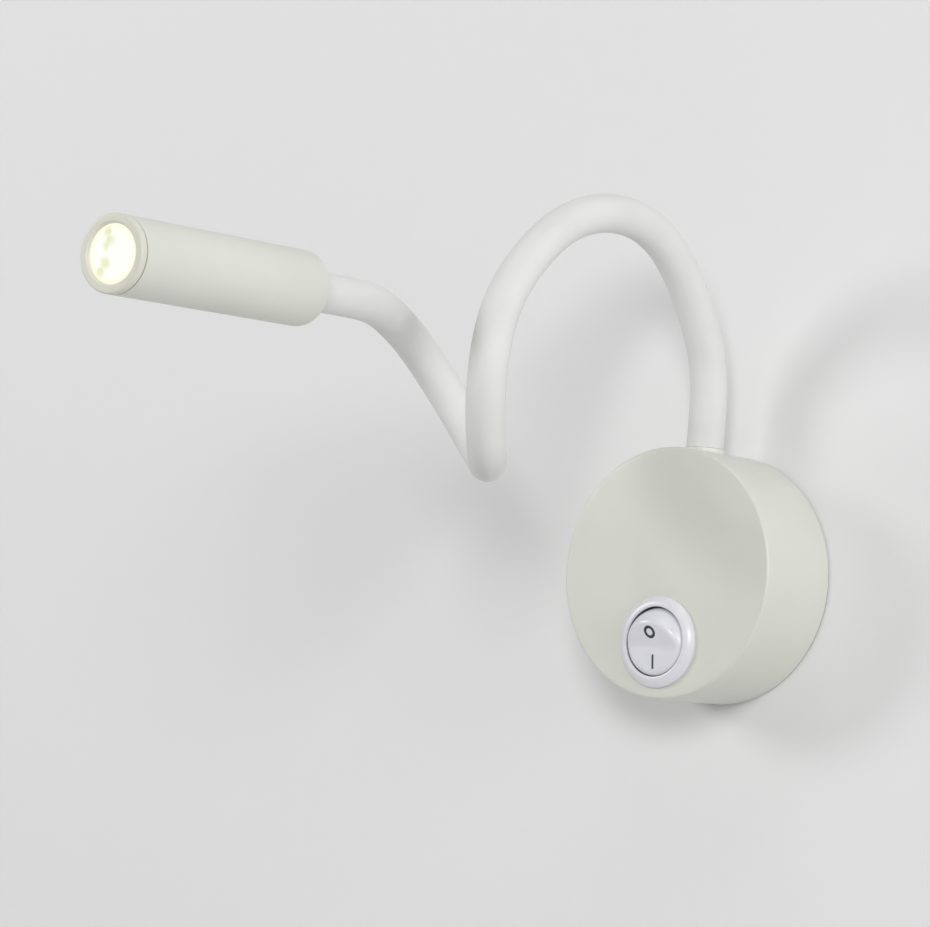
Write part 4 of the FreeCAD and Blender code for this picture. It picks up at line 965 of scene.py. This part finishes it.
# ---- lamp head ----
class LAMP_OT_lamp_head(bpy.types.Operator):
    """Turned tube of the lamp head with its flat rear end, its front bezel and its clear optic"""
    bl_idname = "reading_lamp.lamp_head"
    bl_label = "Lamp head"

    def execute(self, context):
        settings = context.scene.reading_lamp_head
        tube_end = HEAD_LENGTH - BEZEL_LENGTH - SEAM_GAP
        outline = [(FLANGE_SINK, 0), (HEAD_RADIUS - 2 * HEAD_EDGE, 0)]
        outline += arc((HEAD_RADIUS - HEAD_EDGE, HEAD_EDGE), HEAD_EDGE, -90, 0, SMALL_BANDS)
        outline += [(HEAD_RADIUS, ring) for ring in (2 * HEAD_EDGE, *HEAD_RINGS, tube_end - HEAD_BAND,
                                                     tube_end - SEAM_EDGE)]
        outline += [(HEAD_RADIUS - SEAM_EDGE, tube_end), (HEAD_BORE, tube_end), (HEAD_BORE, REAR_WALL),
                    (THREAD_HOLE, REAR_WALL), (THREAD_HOLE, SINK), (FLANGE_SINK, SINK)]
        tube = lathed("head_shell", outline, True, settings.segments, HEAD_PLACE)
        dressed(tube, "head", "satin_cream_enamel", "cream_enamel", "head_tube")
        self.bezel(settings)
        self.optic(settings)
        return {"FINISHED"}

    def bezel(self, settings):
        """Front ring with its chamfered aperture and the spigot that slips into the tube."""
        back = HEAD_LENGTH - BEZEL_LENGTH
        spigot = HEAD_BORE - SPIGOT_GAP
        bore = spigot - SPIGOT_WALL
        mouth = APERTURE_RADIUS + APERTURE_CHAMFER
        outline = [(HEAD_RADIUS - SEAM_EDGE, back), (HEAD_RADIUS, back + SEAM_EDGE)]
        outline += arc((HEAD_RADIUS - BEZEL_EDGE, HEAD_LENGTH - BEZEL_EDGE), BEZEL_EDGE, 0, 90, SMALL_BANDS)
        outline += [(HEAD_RADIUS - BEZEL_FACE, HEAD_LENGTH), (mouth + APERTURE_LAND, HEAD_LENGTH),
                    (mouth, HEAD_LENGTH), (APERTURE_RADIUS, HEAD_LENGTH - APERTURE_CHAMFER),
                    (APERTURE_RADIUS, HEAD_LENGTH - BEZEL_LIP), (bore, HEAD_LENGTH - BEZEL_LIP),
                    (bore, back - SPIGOT_LENGTH), (spigot, back - SPIGOT_LENGTH), (spigot, back)]
        ring = lathed("head_bezel", outline, True, settings.segments, HEAD_PLACE)
        dressed(ring, "head", "warm_cream_enamel", "cream_enamel", "bezel_ring")

    def optic(self, settings):
        """Lens with a boss that fills the aperture, and the horn and the well behind its rim."""
        front = HEAD_LENGTH - BEZEL_LIP - LENS_SEAT
        rim_back = front - LENS_RIM
        horn_back = rim_back - LENS_HORN
        boss = APERTURE_RADIUS - LENS_CLEARANCE
        outline = [(LENS_RADIUS, rim_back), (LENS_RADIUS, front), (boss, front),
                   (boss, front + LENS_BOSS - LENS_EDGE)]
        for number in range(LENS_BANDS + 1):
            left = 1 - number / LENS_BANDS
            outline.append(((boss - LENS_ROUND) * left, front + LENS_BOSS + LENS_CROWN * (1 - left ** 2)))
        outline += [(0, horn_back + LENS_WELL_DEPTH), (LENS_WELL, horn_back + LENS_WELL_DEPTH),
                    (LENS_WELL, horn_back), (LENS_REAR, horn_back), (APERTURE_RADIUS - HORN_GAP, rim_back)]
        optic = lathed("spot_lens", outline, False, settings.segments, HEAD_PLACE)
        dressed(optic, "head", "lit_collimator_optic", "clear_lens", "lens")


# ---- finishes ----
# Name, colour, roughness, grain and relief in millimetres.
MOULDED = (
    ("grey_marking_ink", "38383D", 0.5, 0.3, 0.003),            # soft dark print
    ("natural_nylon", "E7E4DA", 0.48, 0.5, 0.01),               # warm milky white
    ("dark_grey_rubber", "34353A", 0.75, 0.4, 0.02),            # dull, almost black
    ("grey_lead_sheath", "B9BABC", 0.5, 0.6, 0.01),             # plain cool grey
    ("brown_pvc_insulation", "6A3B22", 0.4, 0.5, 0.01),         # half-gloss brown
    ("blue_pvc_insulation", "24549E", 0.4, 0.5, 0.01),          # half-gloss blue
    ("red_pvc_insulation", "A32A22", 0.4, 0.5, 0.01),           # half-gloss red
    ("yellow_phosphor_silicone", "E8C93A", 0.35, 0.2, 0.004))   # the LED's yellow coat

# Name, darker and lighter colour, roughness and grain in millimetres.
PLATED = (
    ("zinc_plated_steel", "9DA1A6", "BFC3C8", 0.32, 0.35),      # bluish bright grey
    ("drawn_brass", "B08A44", "CFAA62", 0.3, 0.3),              # warm yellow, drawn lines
    ("nickel_plated_brass", "AFA99C", "CBC6BA", 0.22, 0.3),     # warm grey, the brightest
    ("wound_spring_steel", "6E7276", "8F9498", 0.34, 0.5),      # dark oiled grey
    ("turned_bare_aluminium", "B4B6B8", "D2D4D6", 0.36, 0.25))  # pale grey, lathe lines

CARRIED = {
    "zinc_plated_steel": ("mounting_bracket", "shell_fixing_screws", "block_fixing_screw", "arm_base_washer",
                          "terminal_clamp_screws", "plunger_spring", "board_screws"),
    "drawn_brass": ("terminal_sleeves", "switch_terminals", "contact_lever", "earth_screw"),
    "nickel_plated_brass": ("earth_washer", "arm_base_nut", "head_nut"),
    "white_lacquered_fitting": ("arm_base_fitting", "head_fitting"),
    "natural_nylon": ("terminal_block", "driver_case", "driver_lid", "plunger", "lens_holder"),
    "dark_grey_rubber": ("cable_bush", "driver_pad"),
    "green_circuit_laminate": ("driver_board", "led_board"),
    "brown_pvc_insulation": ("live_wire", "switched_wire"),
    "blue_pvc_insulation": ("neutral_wire",),
    "red_pvc_insulation": ("led_leads",),
    "yellow_phosphor_silicone": ("led",),
    "turned_bare_aluminium": ("heat_sink",),
}


class LAMP_OT_finishes(bpy.types.Operator):
    """Real materials for every piece, also for the ones that keep their solid from the frame"""
    bl_idname = "reading_lamp.finishes"
    bl_label = "Finishes"

    def execute(self, context):
        roughness = context.scene.reading_lamp_base.enamel_roughness
        satin_enamel("satin_cream_enamel", "D3D4CB", "D7D8CF", roughness)
        satin_enamel("warm_cream_enamel", "D3D2C6", "D9D8CC", roughness)
        satin_enamel("white_lacquered_fitting", "DCDCD6", "E2E2DC", roughness)
        silicone_sleeve()
        gloss_polycarbonate()
        for row in MOULDED:
            moulded(*row)
        for row in PLATED:
            plated(*row)
        circuit_laminate()
        lit_optic(context.scene.reading_lamp_head.glow)
        for finish, names in CARRIED.items():
            for name in names:
                node = NODES[name]
                node.data.materials.clear()
                node.data.materials.append(bpy.data.materials[finish])
        return {"FINISHED"}


# ---- stage ----
class LAMP_OT_stage(bpy.types.Operator):
    """Pale wall and floor, even soft light and the photograph's camera"""
    bl_idname = "reading_lamp.stage"
    bl_label = "Wall, light and camera"

    def execute(self, context):
        settings = context.scene.reading_lamp_stage
        tree, shader = blank("pale_wall_paint")
        shader.inputs["Base Color"].default_value = (*settings.wall_colour, 1.0)
        shader.inputs["Roughness"].default_value = 0.9
        shader.inputs["Specular IOR Level"].default_value = 0.1
        facing = add(tree, "ShaderNodeNewGeometry")
        clear = add(tree, "ShaderNodeBsdfTransparent")
        one_sided = add(tree, "ShaderNodeMixShader", None,
                        {0: (facing, "Backfacing"), 1: (shader, 0), 2: (clear, 0)})
        output = next(node for node in tree.nodes if node.bl_idname == "ShaderNodeOutputMaterial")
        tree.links.new(one_sided.outputs[0], output.inputs["Surface"])
        planes = (("wall", moved(0, WALL_GAP, 0) @ OUT_OF_WALL), ("floor", moved(0, 0, -FLOOR_DROP)))
        for name, place in planes:
            bm = bmesh.new()
            bmesh.ops.create_grid(bm, x_segments=1, y_segments=1, size=mm(PLANE_HALF))
            bmesh.ops.transform(bm, matrix=place, verts=bm.verts[:])
            mesh = bpy.data.meshes.new(name)
            bm.to_mesh(mesh)
            bm.free()
            mesh.materials.append(bpy.data.materials["pale_wall_paint"])
            plane = bpy.data.objects.new(name, mesh)
            context.scene.collection.objects.link(plane)
        for name, place, width in LIGHTS:
            light = bpy.data.lights.new(name, "AREA")
            light.shape = "DISK"
            light.size = width
            light.energy = getattr(settings, name)
            holder = bpy.data.objects.new(name, light)
            holder.location = place
            holder.rotation_euler = (-Vector(place)).to_track_quat("-Z", "Y").to_euler()
            context.scene.collection.objects.link(holder)
        world = bpy.data.worlds.new("room")
        world.use_nodes = True
        room = world.node_tree.nodes["Background"]
        room.inputs["Color"].default_value = (1, 1, 1, 1)
        room.inputs["Strength"].default_value = settings.daylight
        context.scene.world = world
        context.scene.view_settings.view_transform = "Standard"
        self.camera(context)
        return {"FINISHED"}

    def camera(self, context):
        """The camera that took the photograph, as its measured place, direction and focal length."""
        data = bpy.data.cameras.new("photo_camera")
        data.sensor_width = CAMERA_SENSOR_MM
        data.lens = CAMERA_FOCAL_PX / CAMERA_WIDTH_PX * data.sensor_width
        data.clip_start = CAMERA_NEAREST
        holder = bpy.data.objects.new("photo_camera", data)
        back = Vector(CAMERA_BACK).normalized()
        up = Vector(CAMERA_UP)
        up = (up - back * up.dot(back)).normalized()
        right = up.cross(back)
        turn = Matrix((right, up, back)).transposed().to_4x4()
        holder.matrix_world = Matrix.Translation(Vector(CAMERA_PLACE)) @ turn
        context.scene.collection.objects.link(holder)
        context.scene.camera = holder


# ---- panel ----
OPERATORS = (LAMP_OT_finishes, LAMP_OT_base_drum, LAMP_OT_switch_bezel, LAMP_OT_rocker_button, LAMP_OT_arm,
             LAMP_OT_lamp_head, LAMP_OT_stage)
SETTINGS = (("reading_lamp_base", BaseSettings), ("reading_lamp_switch", SwitchSettings),
            ("reading_lamp_arm", ArmSettings), ("reading_lamp_head", HeadSettings),
            ("reading_lamp_stage", StageSettings))


class LAMP_PT_panel(bpy.types.Panel):
    """Lists the lamp's pieces and their settings in the sidebar"""
    bl_idname = "LAMP_PT_panel"
    bl_label = "Bedside Reading Lamp"
    bl_space_type = "VIEW_3D"
    bl_region_type = "UI"
    bl_category = "Reading Lamp"

    def draw(self, context):
        for operator in OPERATORS:
            self.layout.operator(operator.bl_idname)
        for name, kind in SETTINGS:
            box = self.layout.box()
            for setting in kind.__annotations__:
                box.prop(getattr(context.scene, name), setting)


def register():
    for name, kind in SETTINGS:
        bpy.utils.register_class(kind)
        setattr(bpy.types.Scene, name, bpy.props.PointerProperty(type=kind))
    for operator in OPERATORS:
        bpy.utils.register_class(operator)
    bpy.utils.register_class(LAMP_PT_panel)


def unregister():
    bpy.utils.unregister_class(LAMP_PT_panel)
    for operator in reversed(OPERATORS):
        bpy.utils.unregister_class(operator)
    for name, kind in reversed(SETTINGS):
        delattr(bpy.types.Scene, name)
        bpy.utils.unregister_class(kind)


def main():
    register()
    for operator in OPERATORS:
        group, name = operator.bl_idname.split(".")
        getattr(getattr(bpy.ops, group), name)()


if __name__ == "__main__":
    main()
